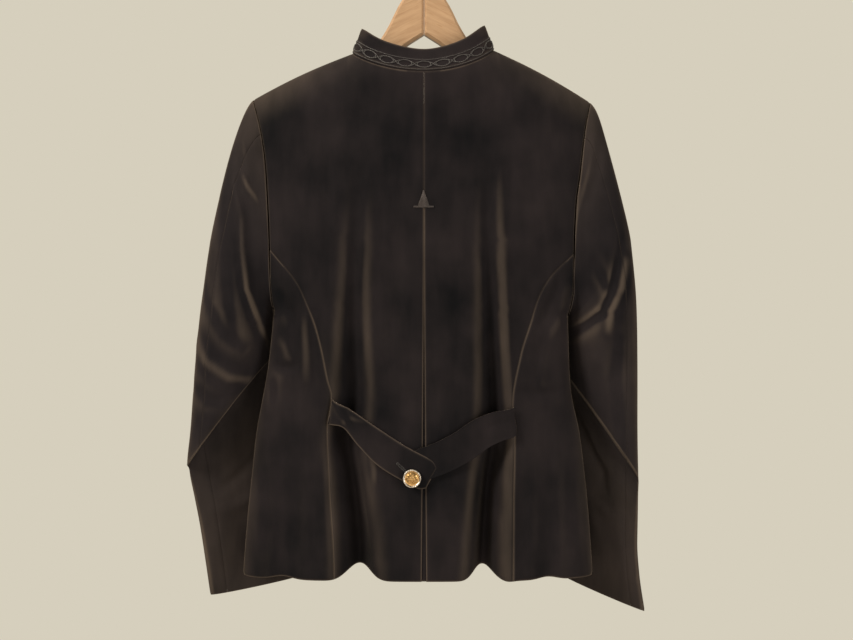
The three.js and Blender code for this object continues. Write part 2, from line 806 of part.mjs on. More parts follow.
function neckPoint(share) {
  const face = Math.abs(share) <= 0.5 ? "back" : "front";
  const side = share >= 0 ? "left" : "right";
  const x = NECK[side].x * Math.sin(Math.PI * share);
  const height = neckHeight(face, x);
  return bodyPoint(face, acrossAt(x, height), clothHeight(x, height));
}

// Point of the half belt's inner face at a share along it and from -1 to 1 across it, with the
// direction out of it. The free end is rounded.
function beltPlace(side, along, across) {
  const rows = BELT[side];
  const value = (column, t) => through(rows, "t", column, THREE.MathUtils.clamp(t, 0, 1));
  const step = 0.02;
  const dx = value("x", along + step) - value("x", along - step);
  const dh = value("h", along + step) - value("h", along - step);
  const length = Math.hypot(dx, dh);
  const toEnd = Math.hypot(value("x", 1) - value("x", along), value("h", 1) - value("h", along));
  const half = value("width", along) / 2;
  const short = Math.max(1 - toEnd / (0.6 * half), 0);
  const reach = across * half * Math.sqrt(1 - 0.55 * short * short);
  const x = value("x", along) - (dh / length) * reach;
  const height = value("h", along) + (dx / length) * reach;
  const normal = bodyNormal("back", acrossAt(x, height), height, false);
  const point = bodyPoint("back", acrossAt(x, height), height, false);
  return { point: point.addScaledVector(normal, value("off", along)), normal };
}

// A shank button whose shank's foot is at a point.
function addButton(name, foot, direction) {
  const made = add(name, new THREE.LatheGeometry(BUTTON, 14), brass);
  made.position.copy(foot);
  made.quaternion.setFromUnitVectors(new THREE.Vector3(0, 1, 0), direction);
}

// An arm of the hanger: flat, with eased edges. Its top follows the shoulder, just under the cloth.
function hangerArmGeometry(side, sign) {
  const neck = NECK[side];
  const drop = CLOTH + HANGER_CLEARANCE;
  const top = [];
  const free = 14;
  for (let i = 0; i <= free; i++) {
    const x = HANGER_MITRE_GAP / 2 + ((neck.x - 14) * i) / free;
    top.push(new THREE.Vector2(x, through(HANGER_NECK, "x", "h", x)));
  }
  const end = SHOULDER_TIP[side].x - HANGER_END;
  for (let i = 0; i <= 8; i++) {
    const x = neck.x + 4 + ((end - neck.x - 4) * i) / 8;
    top.push(new THREE.Vector2(x, shoulderHeight(sign * x) - drop - HANGER_SINK * (i / 8) ** 2));
  }
  const last = top[top.length - 1];
  const tall = last.y - through(HANGER_UNDER, "x", "h", end);
  for (let i = 1; i < 8; i++) {
    const angle = (Math.PI * i) / 8;
    const x = last.x + (tall / 2) * 0.8 * Math.sin(angle);
    top.push(new THREE.Vector2(x, last.y - (tall / 2) * (1 - Math.cos(angle))));
  }
  for (let i = 0; i <= 10; i++) {
    const x = end + (HANGER_MITRE_GAP / 2 - end) * (i / 10);
    top.push(new THREE.Vector2(x, through(HANGER_UNDER, "x", "h", x)));
  }
  const ease = 3;
  const geometry = new THREE.ExtrudeGeometry(new THREE.Shape(top), {
    depth: HANGER_THICKNESS - 2 * ease,
    bevelThickness: ease,
    bevelSize: ease,
    bevelOffset: -ease,
    bevelSegments: 1,
  });
  geometry.translate(0, 0, -(HANGER_THICKNESS - 2 * ease) / 2).rotateX(Math.PI / 2);
  if (sign < 0) geometry.rotateZ(Math.PI);
  return geometry;
}

// The hook's wire: up from the ferrule, out to one side and round over the crown.
function hookGeometry() {
  const radius = HOOK_RADIUS + WIRE_DIAMETER / 2;
  const middle = CROWN_HEIGHT - HOOK_RADIUS;
  const foot = HANGER_NECK[0].h + SEAM + FERRULE_HEIGHT + SEAM;
  const points = [];
  for (const height of [foot, foot + 7, foot + 14]) points.push(new THREE.Vector3(0, 0, height));
  for (let angle = -60; angle <= 210; angle += 15) {
    const turn = THREE.MathUtils.degToRad(angle);
    const x = radius * Math.cos(turn);
    points.push(new THREE.Vector3(x, 0, middle + radius * Math.sin(turn)));
  }
  const wire = new THREE.Shape().absarc(0, 0, WIRE_DIAMETER / 2, 0, 2 * Math.PI);
  return new THREE.ExtrudeGeometry(wire, {
    curveSegments: 4,
    steps: 40,
    extrudePath: new THREE.CatmullRomCurve3(points),
  });
}

// Everything is made in heights above the hem, and the group hangs it from the hook's crown.
const jacket = new THREE.Group();
jacket.position.z = -CROWN_HEIGHT;

function add(name, geometry, material) {
  const made = new THREE.Mesh(geometry, material);
  made.name = name;
  jacket.add(made);
  return made;
}

// Back: centre panels and side panels
for (const [side, sign] of Object.entries(SIDES)) {
  const junction = armholeHeight(side, JUNCTION_STEP);
  const underarm = ARMHOLE[side][0].h;
  const tip = SHOULDER_TIP[side].height;
  const centreX = (h) => {
    const below = THREE.MathUtils.clamp(1 - h / TACK_HEIGHT, 0, 1);
    return sign * (SEAM / 2 + (PLEAT_OPENING / 2) * below ** 1.5);
  };
  const princess = (gap) => (h) => sign * (princessX(side, h) + gap);
  const armhole = (h) => sign * armholeX("back", side, h);
  const inner = princess(-SEAM / 2);
  const outer = princess(SEAM / 2);
  const princessHem = hemHeight("back", inner(HEM_LEVEL));
  const lowRows = 12;

  const shoulderSteps = 16;
  const topEdge = neckAndShoulderEdge("back", side, 0, shoulderSteps);
  const centre = patch(
    hemEdge("back", acrossAt(centreX(HEM_LEVEL), HEM_LEVEL), acrossAt(inner(HEM_LEVEL), HEM_LEVEL)),
    topEdge,
    uprightEdge(centreX, hemHeight("back", centreX(HEM_LEVEL)), topEdge(0).own),
    uprightEdge((h) => (h < junction ? inner(h) : armhole(h)), princessHem, tip),
  );
  const centreRows = evenly(lowRows, 0, (junction - princessHem) / (tip - princessHem));
  for (let step = JUNCTION_STEP - 1; step >= 0; step--) {
    centreRows.push((armholeHeight(side, step) - princessHem) / (tip - princessHem));
  }
  const centreColumns = evenly(NECK_STEPS + shoulderSteps);
  add("back_" + side, panelGeometry("back", centre, centreColumns, centreRows), velvet);

  const topSteps = ARMHOLE_STEPS - JUNCTION_STEP;
  const sideTop = junction - SEAM;
  const toUnderarm = (t) => {
    const own = Math.min(armholeHeight(side, JUNCTION_STEP + topSteps * t), sideTop);
    return place(acrossAt(t > 0 ? armhole(own) : outer(own), own), own);
  };
  const sideHem = hemHeight("back", sign * through(HALF_WIDTH[side], "h", "width", HEM_LEVEL));
  const beside = patch(
    hemEdge("back", acrossAt(outer(HEM_LEVEL), HEM_LEVEL), sign),
    toUnderarm,
    uprightEdge(outer, princessHem, sideTop),
    (t) => place(sign, sideHem + (underarm - sideHem) * t),
  );
  add("side_back_" + side, panelGeometry("back", beside, evenly(topSteps), evenly(lowRows)), velvet);
}

// The pleat's underlay, behind the centre back's edges
{
  const halfWidth = 28;
  const top = TACK_HEIGHT - 8;
  const edge = (x) => uprightEdge(() => x, hemHeight("back", x), top);
  const acrossTop = (t) => place(acrossAt(halfWidth * (2 * t - 1), top), top);
  const low = acrossAt(-halfWidth, HEM_LEVEL);
  const high = acrossAt(halfWidth, HEM_LEVEL);
  const underlay = patch(hemEdge("back", low, high), acrossTop, edge(-halfWidth), edge(halfWidth));
  const behind = () => -(CLOTH + 0.5);
  add("back_pleat", panelGeometry("back", underlay, evenly(4), evenly(12), behind), velvet);
}

// Fronts: the right one laps over the left, and each passes the centre
for (const [side, sign] of Object.entries(SIDES)) {
  const edgeX = -sign * LAP;
  const underarm = ARMHOLE[side][0].h;
  const tip = SHOULDER_TIP[side].height;
  const height = tip - HEM_LEVEL;
  const atUnderarm = (underarm - HEM_LEVEL) / height;
  const armhole = uprightEdge((h) => sign * armholeX("front", side, h), underarm, tip);
  const outerEdge = (t) => {
    if (t <= atUnderarm) return place(sign, HEM_LEVEL + height * t);
    return armhole((t - atUnderarm) / (1 - atUnderarm));
  };
  const shoulderSteps = 8;
  const topEdge = neckAndShoulderEdge("front", side, LAP, shoulderSteps);
  const front = patch(
    hemEdge("front", acrossAt(edgeX, HEM_LEVEL), sign),
    topEdge,
    uprightEdge(() => edgeX, hemHeight("front", edgeX), topEdge(0).own),
    outerEdge,
  );
  const rows = evenly(7, 0, atUnderarm);
  for (let step = ARMHOLE_STEPS - 1; step >= 0; step--) {
    rows.push((armholeHeight(side, step) - HEM_LEVEL) / height);
  }
  const columns = evenly(1 + NECK_STEPS + shoulderSteps);
  const lift = side === "right" ? overLap : () => 0;
  add("front_" + side, panelGeometry("front", front, columns, rows, lift), velvet);
}

// Sleeves, each in two pieces that meet at the back and the front seam
for (const side of Object.keys(SIDES)) {
  const frontSeam = 2 * ARMHOLE_STEPS - SLEEVE_FRONT_SEAM;
  const topSleeve = sleeveGeometry(side, -SLEEVE_FRONT_SEAM, SLEEVE_BACK_SEAM);
  const underSleeve = sleeveGeometry(side, SLEEVE_BACK_SEAM, frontSeam);
  add("top_sleeve_" + side, topSleeve, sleeveVelvet);
  add("under_sleeve_" + side, underSleeve, sleeveVelvet);
}

// Collar: one strip that stands on the neckline, from the centre front round the back
{
  const outer = [];
  const inner = [];
  const steps = 2 * NECK_STEPS;
  const end = 1 - SEAM / 2 / (Math.PI * NECK.left.x);
  for (const rise of [0, 0.5, 1]) {
    const outerRow = [];
    const innerRow = [];
    for (let i = -steps; i <= steps; i++) {
      const share = THREE.MathUtils.clamp(i / steps, -end, end);
      const { foot, up, outward } = collarFoot(share);
      const point = foot.clone().addScaledVector(up, COLLAR_GAP + COLLAR_HEIGHT * rise);
      const within = point.clone().addScaledVector(outward, -COLLAR_THICKNESS);
      if (rise === 0) within.add(footClearance(share, up, outward));
      outerRow.push(point);
      innerRow.push(within);
    }
    outer.push(outerRow);
    inner.push(innerRow);
  }
  add("collar", wallGeometry(outer, inner), velvet);
}

// Half belt
for (const side of Object.keys(SIDES)) {
  const outer = [];
  const inner = [];
  const across = 2;
  const steps = 16;
  for (let i = 0; i <= steps; i++) {
    const outerRow = [];
    const innerRow = [];
    for (let j = 0; j <= across; j++) {
      const { point, normal } = beltPlace(side, i / steps, (2 * j) / across - 1);
      innerRow.push(point);
      outerRow.push(point.clone().addScaledVector(normal, BELT_THICKNESS));
    }
    outer.push(outerRow);
    inner.push(innerRow);
  }
  add("belt_" + side, wallGeometry(outer, inner), velvet);
}

// Buttons
{
  const { x, height } = BELT_BUTTON;
  const normal = bodyNormal("back", acrossAt(x, height), height, false);
  const standoff = BELT.left[BELT.left.length - 1].off + BELT_THICKNESS + SEAM + 0.3;
  const seat = bodyPoint("back", acrossAt(x, height), height, false);
  addButton("belt_button", seat.addScaledVector(normal, standoff), normal);
}
for (let i = 0; i < FRONT_BUTTONS; i++) {
  const height = FRONT_BUTTON_TOP - FRONT_BUTTON_STEP * i;
  const normal = bodyNormal("front", 0, height);
  const seat = bodyPoint("front", 0, height).addScaledVector(normal, LAP_LIFT + SEAM);
  addButton("front_button_" + (i + 1), seat, normal);
}

// Hanger: two arms mitred at the centre, a ferrule and a wire hook
for (const [side, sign] of Object.entries(SIDES)) {
  add("hanger_arm_" + side, hangerArmGeometry(side, sign), beech);
}
add("hanger_ferrule", new THREE.LatheGeometry(FERRULE, 16).rotateX(Math.PI / 2), steel);
add("hanger_hook", hookGeometry(), steel);

export default new THREE.Group().add(jacket);
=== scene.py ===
# A velvet jacket hung on a wooden hanger.
# Cloth is worked out in millimetres, with heights measured up from the level of the hem, and
# becomes metres in the frame when a mesh is made. The wearer's left is +X and the back faces +Y.

import math

import bpy
import numpy as np
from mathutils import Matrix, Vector


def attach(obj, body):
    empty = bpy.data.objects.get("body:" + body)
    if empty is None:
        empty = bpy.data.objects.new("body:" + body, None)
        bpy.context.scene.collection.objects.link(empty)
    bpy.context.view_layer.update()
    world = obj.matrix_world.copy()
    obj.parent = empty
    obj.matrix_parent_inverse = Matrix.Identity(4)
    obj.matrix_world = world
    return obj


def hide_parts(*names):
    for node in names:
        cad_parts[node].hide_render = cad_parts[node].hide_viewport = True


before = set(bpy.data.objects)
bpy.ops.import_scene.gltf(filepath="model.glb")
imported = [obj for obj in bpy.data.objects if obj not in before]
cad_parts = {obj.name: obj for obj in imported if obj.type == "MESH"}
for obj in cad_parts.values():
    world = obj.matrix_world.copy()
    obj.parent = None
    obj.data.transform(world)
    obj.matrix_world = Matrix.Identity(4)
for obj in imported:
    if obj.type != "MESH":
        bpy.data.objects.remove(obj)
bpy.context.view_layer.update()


# Cotton velvet
# A short, dense, dark brown pile. It is nearly black face on, turns lighter and warmer where it
# is seen or lit along the surface, and has highlights painted on its edges, ridges, shoulders and arms.

PILE_DARK = "#0f0f11"
PILE_LIGHT = "#272223"
# Lighter colour painted on edges, ridges, shoulders and arms, as a painted highlight and sheen.
PILE_PAINTED_SHEEN = "#63574c"
PILE_SHEEN = "#d6c2ac"


def colour(code):
    """Linear RGBA of an sRGB hex code."""
    parts = [int(code[i : i + 2], 16) / 255 for i in (1, 3, 5)]
    linear = [c / 12.92 if c <= 0.04045 else ((c + 0.055) / 1.055) ** 2.4 for c in parts]
    return (*linear, 1.0)


def new_material(name, evenly):
    """A node material with its node tree and its shader, which has some values all over."""
    material = bpy.data.materials.new(name)
    material.use_nodes = True
    tree = material.node_tree
    shader = tree.nodes["Principled BSDF"]
    for socket, value in evenly.items():
        shader.inputs[socket].default_value = value
    return material, tree, shader


def node(tree, kind, settings=None, links=None):
    """Adds a node. Settings name its properties or inputs, and links map inputs to outputs."""
    made = tree.nodes.new(kind)
    for key, value in (settings or {}).items():
        if isinstance(key, str) and hasattr(made, key):
            setattr(made, key, value)
        else:
            made.inputs[key].default_value = value
    for key, output in (links or {}).items():
        tree.links.new(output, made.inputs[key])
    return made


def metres_scale(period_mm):
    """Texture scale that repeats about every so many millimetres."""
    return 1000 / period_mm


def velvet(name, dark, light):
    """Woven and sheared velvet: soft patches where the pile lies another way, upright strokes of
    brushing, and a finely broken surface."""
    soft = {"Roughness": 0.85, "Specular IOR Level": 0.05}
    sheen = {"Sheen Weight": 0.36, "Sheen Roughness": 0.24, "Sheen Tint": colour(PILE_SHEEN)}
    material, tree, shader = new_material(name, {**soft, **sheen})
    place = node(tree, "ShaderNodeTexCoord").outputs["Object"]
    lie = {"Scale": metres_scale(95), "Detail": 3.0, "Roughness": 0.5}
    patches = node(tree, "ShaderNodeTexNoise", lie, {"Vector": place}).outputs["Fac"]
    upright = node(tree, "ShaderNodeMapping", {"Scale": (1.0, 1.0, 0.28)}, {"Vector": place})
    brushing = {"Scale": metres_scale(22), "Detail": 4.0, "Roughness": 0.55}
    drawn = node(tree, "ShaderNodeTexNoise", brushing, {"Vector": upright.outputs["Vector"]})
    strokes = drawn.outputs["Fac"]
    # A real tuft is about 0.2 mm wide. It is drawn coarser, so that it shows.
    tufts = {"Scale": metres_scale(0.7), "Detail": 2.0, "Roughness": 0.6}
    pile = node(tree, "ShaderNodeTexNoise", tufts, {"Vector": place}).outputs["Fac"]
    mixed = node(tree, "ShaderNodeMix", {"data_type": "FLOAT", 0: 0.3}, {2: patches, 3: strokes})
    spread = {"From Min": 0.34, "From Max": 0.68}
    shade = node(tree, "ShaderNodeMapRange", spread, {"Value": mixed.outputs[0]})
    shades = {"data_type": "RGBA", 6: colour(dark), 7: colour(light)}
    cloth = node(tree, "ShaderNodeMix", shades, {0: shade.outputs["Result"]})
    # Painted highlight and sheen: each point's share, broken by the strokes, lightens the colour.
    painted_sheen = node(tree, "ShaderNodeAttribute", {"attribute_name": "painted_sheen"}).outputs["Fac"]
    uneven = {"From Min": 0.3, "From Max": 0.7, "To Min": 0.6, "To Max": 1.0}
    broken = node(tree, "ShaderNodeMapRange", uneven, {"Value": strokes}).outputs["Result"]
    painted_highlight = node(tree, "ShaderNodeMath", {"operation": "MULTIPLY"}, {0: painted_sheen, 1: broken})
    over = {0: painted_highlight.outputs["Value"], 6: cloth.outputs[2]}
    tinted = node(tree, "ShaderNodeMix", {"data_type": "RGBA", 7: colour(PILE_PAINTED_SHEEN)}, over)
    tree.links.new(tinted.outputs[2], shader.inputs["Base Color"])
    bump = node(tree, "ShaderNodeBump", {"Strength": 0.35, "Distance": 0.0004}, {"Height": pile})
    tree.links.new(bump.outputs["Normal"], shader.inputs["Normal"])
    return material


body_velvet = velvet("dark_brown_cotton_velvet", PILE_DARK, PILE_LIGHT)


# Form of the body cloth
# The body hangs from the shoulders as a flattened tube, with the deep hanging folds that run up
# from the hem beside the centre back. Every table has named columns, from the hem up.

SEAM = 0.3
FLATNESS = 0.55
SHOULDER_ROUND = 60  # height over which the cloth turns over the shoulder
NECK = {"left": (88, 640), "right": (86, 644)}
SHOULDER_TIP = {"left": (210, 584), "right": (204, 581)}
NECK_PEAK = 666
SHOULDER_BOW = 3

HALF_WIDTH = {
    "left": {
        "h": (-40, 0, 66, 121, 177, 226, 255, 285, 300, 312, 324, 332, 345, 360, 380, 430, 510, 584, 680),
        "width": (
            *(222, 221, 216.5, 211, 205, 196, 191, 187.5, 186, 185, 183.5),
            *(186, 190.5, 195.5, 199.5, 203, 206, 215, 222),
        ),
    },
    "right": {
        "h": (-40, 0, 66, 121, 177, 226, 255, 285, 300, 312, 318, 326, 340, 354, 374, 430, 510, 584, 680),
        "width": (
            *(207, 206, 202, 197, 190, 180, 178, 177, 176.5, 176, 175.5),
            *(179, 185, 190, 194, 197, 201, 209, 216),
        ),
    },
}
DEPTH = {
    "h": (-40, 0, 120, 200, 300, 400, 500, 600, 680),
    "back": (53, 52, 46, 43, 45, 46, 42, 37, 36),
    "front": (51, 50, 44, 41, 44, 48, 44, 35, 33),
}

# Hanging folds. Depth is inward, so a ridge has a negative depth.
HANGING_FOLDS = {
    "back": {
        "trough beside the left centre panel": {
            "h": (-20, 55, 121, 169, 217, 281, 371, 443, 520),
            "x": (78, 80, 87, 93, 87, 86, 83, 78, 72),
            "half": (27, 25, 22, 22, 21, 18, 15, 14, 14),
            "depth": (44, 42, 38, 33, 27, 19, 9, 4, 0),
        },
        "trough beside the right centre panel": {
            "h": (-20, 55, 121, 169, 242, 346, 434, 510),
            "x": (-70, -73, -78, -84, -82, -79, -77, -80),
            "half": (22, 19, 18, 19, 16, 14, 12, 12),
            "depth": (42, 40, 36, 31, 22, 12, 5, 0),
        },
        "ridge outside the right trough": {
            "h": (-20, 121, 242, 346, 500),
            "x": (-100, -101, -99, -95, -90),
            "half": (14, 13, 12, 11, 11),
            "depth": (-2, -4, -3, -3, 0),
        },
        "fold below the left armpit": {
            "h": (140, 220, 300, 350),
            "x": (165, 160, 158, 160),
            "half": (20, 18, 16, 14),
            "depth": (0, 5, 6, 0),
        },
        "fold from the left side to the hem": {
            "h": (-20, 90, 180),
            "x": (170, 168, 166),
            "half": (24, 22, 20),
            "depth": (10, 6, 0),
        },
        "fold from the right side to the hem": {
            "h": (-20, 110, 230),
            "x": (-148, -150, -146),
            "half": (22, 20, 18),
            "depth": (9, 5, 0),
        },
    },
    "front": {
        "left front fold": {
            "h": (-20, 120, 260, 420),
            "x": (92, 96, 98, 94),
            "half": (26, 24, 22, 20),
            "depth": (22, 15, 8, 0),
        },
        "right front fold": {
            "h": (-20, 120, 260, 400),
            "x": (-98, -96, -92, -94),
            "half": (25, 24, 22, 20),
            "depth": (19, 13, 8, 0),
        },
    },
}


def through(table, key, column, value):
    """Smooth value of a table's column at a key, without overshoot."""
    keys = np.asarray(table[key], float)
    values = np.asarray(table[column], float)
    rises = np.diff(values) / np.diff(keys)
    product = rises[:-1] * rises[1:]
    total = rises[:-1] + rises[1:]
    middle = np.where(product > 0, 2 * product / np.where(total == 0, 1, total), 0)
    slopes = np.concatenate([rises[:1], middle, rises[-1:]])
    value = np.clip(value, keys[0], keys[-1])
    i = np.clip(np.searchsorted(keys, value, side="right") - 1, 0, len(keys) - 2)
    span = keys[i + 1] - keys[i]
    t = (value - keys[i]) / span
    ends = (2 * t**3 - 3 * t**2 + 1) * values[i] + (3 * t**2 - 2 * t**3) * values[i + 1]
    leans = (t**3 - 2 * t**2 + t) * slopes[i] + (t**3 - t**2) * slopes[i + 1]
    return ends + leans * span


def smooth(low, high, value):
    t = np.clip((value - low) / (high - low), 0, 1)
    return t * t * (3 - 2 * t)


def half_width(x, height):
    left = through(HALF_WIDTH["left"], "h", "width", height)
    right = through(HALF_WIDTH["right"], "h", "width", height)
    return np.where(x >= 0, left, right)


def of_side(points, x):
    """The left or the right pair of a table, by the sign of x."""
    (left_x, left_h), (right_x, right_h) = points["left"], points["right"]
    return np.where(x >= 0, left_x, right_x), np.where(x >= 0, left_h, right_h)


def shoulder_height(x):
    neck_x, neck_h = of_side(NECK, x)
    tip_x, tip_h = of_side(SHOULDER_TIP, x)
    out = np.abs(x)
    slope = (neck_h - tip_h) / (tip_x - neck_x)
    inward = (neck_x - out) / neck_x
    peak = slope * neck_x * inward * (1 - inward) + (NECK_PEAK - neck_h) * inward**2
    along = (out - neck_x) / (tip_x - neck_x)
    bow = SHOULDER_BOW * np.sin(np.pi * np.clip(along, 0, 1))
    beyond = neck_h + (tip_h - neck_h) * along + bow
    return np.where(out < neck_x, neck_h + peak, beyond)


def cloth_height(x, height):
    """The cloth's own height, which runs on evenly where it turns over the shoulder."""
    start = shoulder_height(x) - SHOULDER_ROUND
    rise = np.clip((height - start) / SHOULDER_ROUND, 0, 1)
    return np.where(height <= start, height, start + SHOULDER_ROUND * np.arcsin(rise) * 2 / np.pi)


def real_height(x, own):
    start = shoulder_height(x) - SHOULDER_ROUND
    turn = np.clip((own - start) / SHOULDER_ROUND, 0, 1)
    return np.where(turn > 0, start + SHOULDER_ROUND * np.sin(np.pi / 2 * turn), own), turn


def fold_depth(face, x, height):
    depth = 0
    for fold in HANGING_FOLDS[face].values():
        offset = (x - through(fold, "h", "x", height)) / through(fold, "h", "half", height)
        depth = depth + through(fold, "h", "depth", height) * np.exp(-2.2 * offset**2)
    return depth


CREASE_TAPER = 0.7


def crease_depth(creases, x, height):
    """Depth of creases at points of the cloth, tapered to nothing at the ends of each. A crease is
    a row of its line, its depth (below zero on a ridge) and its width on the left and the right."""
    shape = np.shape(x)
    every_x, every_h = np.ravel(x), np.ravel(np.broadcast_to(height, shape))
    total = np.zeros(every_x.shape)
    for line, depth, wide_left, wide_right in creases:
        line = np.array(line, float)
        reach = 3 * max(wide_left, wide_right)
        low, high = line.min(axis=0) - reach, line.max(axis=0) + reach
        near = (every_x > low[0]) & (every_x < high[0]) & (every_h > low[1]) & (every_h < high[1])
        x, height = every_x[near], every_h[near]
        nearest = np.full(x.shape, np.inf)
        along = np.zeros(x.shape)
        left = np.zeros(x.shape, bool)
        lengths = np.hypot(*np.diff(line, axis=0).T)
        done = 0
        for (ax, ah), (bx, bh), length in zip(line[:-1], line[1:], lengths):
            dx, dh = (bx - ax) / length, (bh - ah) / length
            reach = np.clip((x - ax) * dx + (height - ah) * dh, 0, length)
            off_x = x - ax - reach * dx
            off_h = height - ah - reach * dh
            distance = np.hypot(off_x, off_h)
            closer = distance < nearest
            nearest = np.where(closer, distance, nearest)
            along = np.where(closer, done + reach, along)
            left = np.where(closer, dx * off_h - dh * off_x > 0, left)
            done += length
        width = np.where(left, wide_left, wide_right)
        taper = np.sin(np.pi * np.clip(along / done, 0, 1)) ** CREASE_TAPER
        total[near] += depth * taper * np.exp(-((nearest / width) ** 2))
    return total.reshape(shape)


# Smaller creases of the back and the front
CREASES = {
    "back": [
        ([(72, 485), (69, 395), (71, 319), (66, 256), (60, 216)], -1.7, 6, 12),
        ([(80, 157), (71, 123), (68, 90), (63.5, 53), (57, 14)], -2.6, 4, 8),
        ([(63.5, 156), (60, 138), (59, 118)], -1.4, 3, 5),
        ([(-89, 492), (-90, 421), (-92.5, 335), (-93, 277), (-97, 245), (-102, 208)], -1.6, 10, 6),
        ([(-100, 165), (-89, 128), (-83, 90), (-86, 70), (-84, 40), (-88, 6)], -3.2, 5, 9),
        ([(146, 322), (144, 304), (142, 272), (143, 236)], -3.4, 5, 9),
        ([(136, 330), (133, 300), (130, 262), (128, 226)], 2.6, 6, 8),
        ([(184, 262), (172, 256), (158, 257), (148, 262)], 3.2, 6, 5),
        ([(178, 292), (168, 280), (160, 262), (157, 244)], -2.4, 5, 6),
        ([(-108, 230), (-130, 226), (-154, 225), (-172, 232)], 2.2, 7, 5),
        ([(-174, 360), (-169, 332), (-160, 306), (-150, 290)], -3.6, 6, 8),
        ([(-166, 372), (-158, 346), (-146, 318), (-132, 296)], 2.8, 7, 6),
        ([(-150, 316), (-140, 282), (-134, 246), (-132, 214)], 1.8, 8, 6),
        ([(114, 520), (115, 470), (116, 410)], 0.9, 8, 6),
        ([(-153, 545), (-153, 515), (-150, 486)], 0.9, 7, 6),
        ([(-143, 456), (-143, 436), (-141, 416)], 0.8, 6, 6),
        ([(183, 244), (181, 228), (182, 212)], 2.6, 5, 4),
        ([(176, 352), (170, 334), (158, 318), (144, 306)], 3.0, 6, 7),
        ([(20, 590), (60, 560), (120, 545), (170, 548)], 0.9, 14, 18),
        ([(-20, 588), (-64, 556), (-118, 540), (-164, 544)], 0.8, 14, 18),
        ([(30, 420), (34, 340), (38, 260), (34, 200)], 1.2, 9, 12),
        ([(-36, 400), (-40, 330), (-38, 262), (-34, 206)], 1.1, 12, 9),
        ([(126, 150), (128, 96), (124, 40), (126, 2)], 1.8, 10, 8),
        ([(196, 140), (192, 84), (194, 30)], 2.0, 9, 12),
        ([(-178, 150), (-176, 92), (-180, 36)], 2.0, 10, 9),
        ([(-122, 140), (-120, 84), (-124, 20)], 1.6, 9, 8),
    ],
    "front": [
        ([(170, 370), (140, 350), (110, 346)], 2.4, 8, 6),
        ([(-168, 366), (-136, 344), (-104, 342)], 2.4, 6, 8),
        ([(60, 470), (66, 380), (72, 290)], 1.6, 10, 12),
        ([(-64, 460), (-70, 372), (-66, 280)], 1.5, 12, 10),
        ([(40, 200), (46, 120), (44, 20)], 2.6, 10, 12),
        ([(-46, 190), (-40, 110), (-44, 20)], 2.2, 10, 9),
        ([(150, 240), (146, 150), (150, 30)], 3.0, 12, 10),
        ([(-142, 236), (-146, 140), (-140, 30)], 2.8, 10, 12),
        ([(186, 300), (160, 282), (128, 280)], -1.8, 6, 8),
        ([(-178, 296), (-150, 280), (-122, 284)], -1.8, 8, 6),
    ],
}


def body_point(face, across, own, folded=True):
    """Points of the cloth's outer face, from the place across the body, an angle share from -1 to
    1, and the cloth's own height."""
    x = 220 * np.sin(np.pi / 2 * across)
    for _ in range(6):
        height, turn = real_height(x, own)
        x = half_width(across, height) * np.sin(np.pi / 2 * across)
    section = np.maximum(np.cos(np.pi / 2 * np.clip(np.abs(across), 0, 1)), 0)
    depth = through(DEPTH, "h", face, height) * section**FLATNESS
    if folded:
        creased = crease_depth(CREASES[face], x, height)
        depth = depth - fold_depth(face, x, height) * section - creased * np.sqrt(section)
    outward = 1 if face == "back" else -1
    y = outward * (SEAM / 2 + depth * np.cos(np.pi / 2 * turn))
    return np.stack(np.broadcast_arrays(x, y, height), axis=-1)


def across_at(x, height):
    return np.arcsin(np.clip(x / half_width(x, height), -1, 1)) * 2 / np.pi


def body_normal(face, across, own, folded=True):
    """Outward direction of the cloth at a place across the body and a height of its own."""
    step = 0.004
    rise = 0.8
    inside = np.clip(across, -1 + step, 1 - step)
    end = shoulder_height(body_point(face, inside, own, False)[..., 0])
    level = np.minimum(own, end - rise)
    side = body_point(face, inside + step, level, folded) - body_point(face, inside - step, level, folded)
    up = body_point(face, inside, level + rise, folded) - body_point(face, inside, level - rise, folded)
    normal = np.cross(up, side)
    normal = normal / np.linalg.norm(normal, axis=-1, keepdims=True)
    return normal if face == "back" else -normal


def above_body(x, height, lift, folded=True):
    """Points a lift above the outer face of the back."""
    place = across_at(x, height)
    out = np.asarray(lift, float)[..., None]
    point = body_point("back", place, height, folded)
    return point + body_normal("back", place, height, folded) * out


# Cloth panels
# Each is cut between four edges and sewn to its neighbours, so its edges turn in at the seams.
# It is made as a grid of points on the body, with the thickness of the cloth behind it.

CROWN = 797  # from the level of the hem to the inside of the hook's crown
CLOTH = 1.6
CLOSED_SEAM = 0.06  # between the outer faces of two panels where they are sewn together
SIDES = {"left": 1, "right": -1}
HEM_LEVEL = 4
HEM_RISE = 0.28  # share of a fold's depth by which the hem rises in it
NECK_CUT = {"back": (610, 0.69), "front": (556, 0.8)}
ARMHOLE = {
    "left": {
        "h": (324, 327.5, 337, 360, 400, 470, 515, 550, 584),
        "x": (183.5, 184, 185, 186, 186, 189, 193, 199.5, 210),
    },
    "right": {
        "h": (318, 321.5, 331, 350, 396, 453, 487, 545, 581),
        "x": (175.5, 176.5, 178.5, 180.5, 180.5, 183, 188, 195.5, 204),
    },
}
ARMHOLE_SCOOP = 9
JUNCTION = 9 / 14  # share of the way down the armhole where the princess seam meets it
PRINCESS = {
    "left": {
        "h": (-40, 15, 115, 184, 222, 242, 278, 307, 332, 355),
        "x": (106, 106.5, 112.5, 115.5, 110.5, 115.5, 123, 131, 141, 151.5),
    },
    "right": {
        "h": (-40, 15, 104, 175, 210, 271, 312, 340, 363),
        "x": (105.5, 106, 107, 108.5, 106, 116, 129, 138, 151),
    },
}


def upright_edge(x_at, low, high):
    def edge(t):
        own = low + (high - low) * np.asarray(t, float)
        height = own
        for _ in range(6):
            height, _turn = real_height(x_at(height), own)
        return np.stack([across_at(x_at(height), height), own], axis=-1)

    return edge


def hem_height(face, x):
    return HEM_LEVEL + HEM_RISE * fold_depth(face, x, 0)


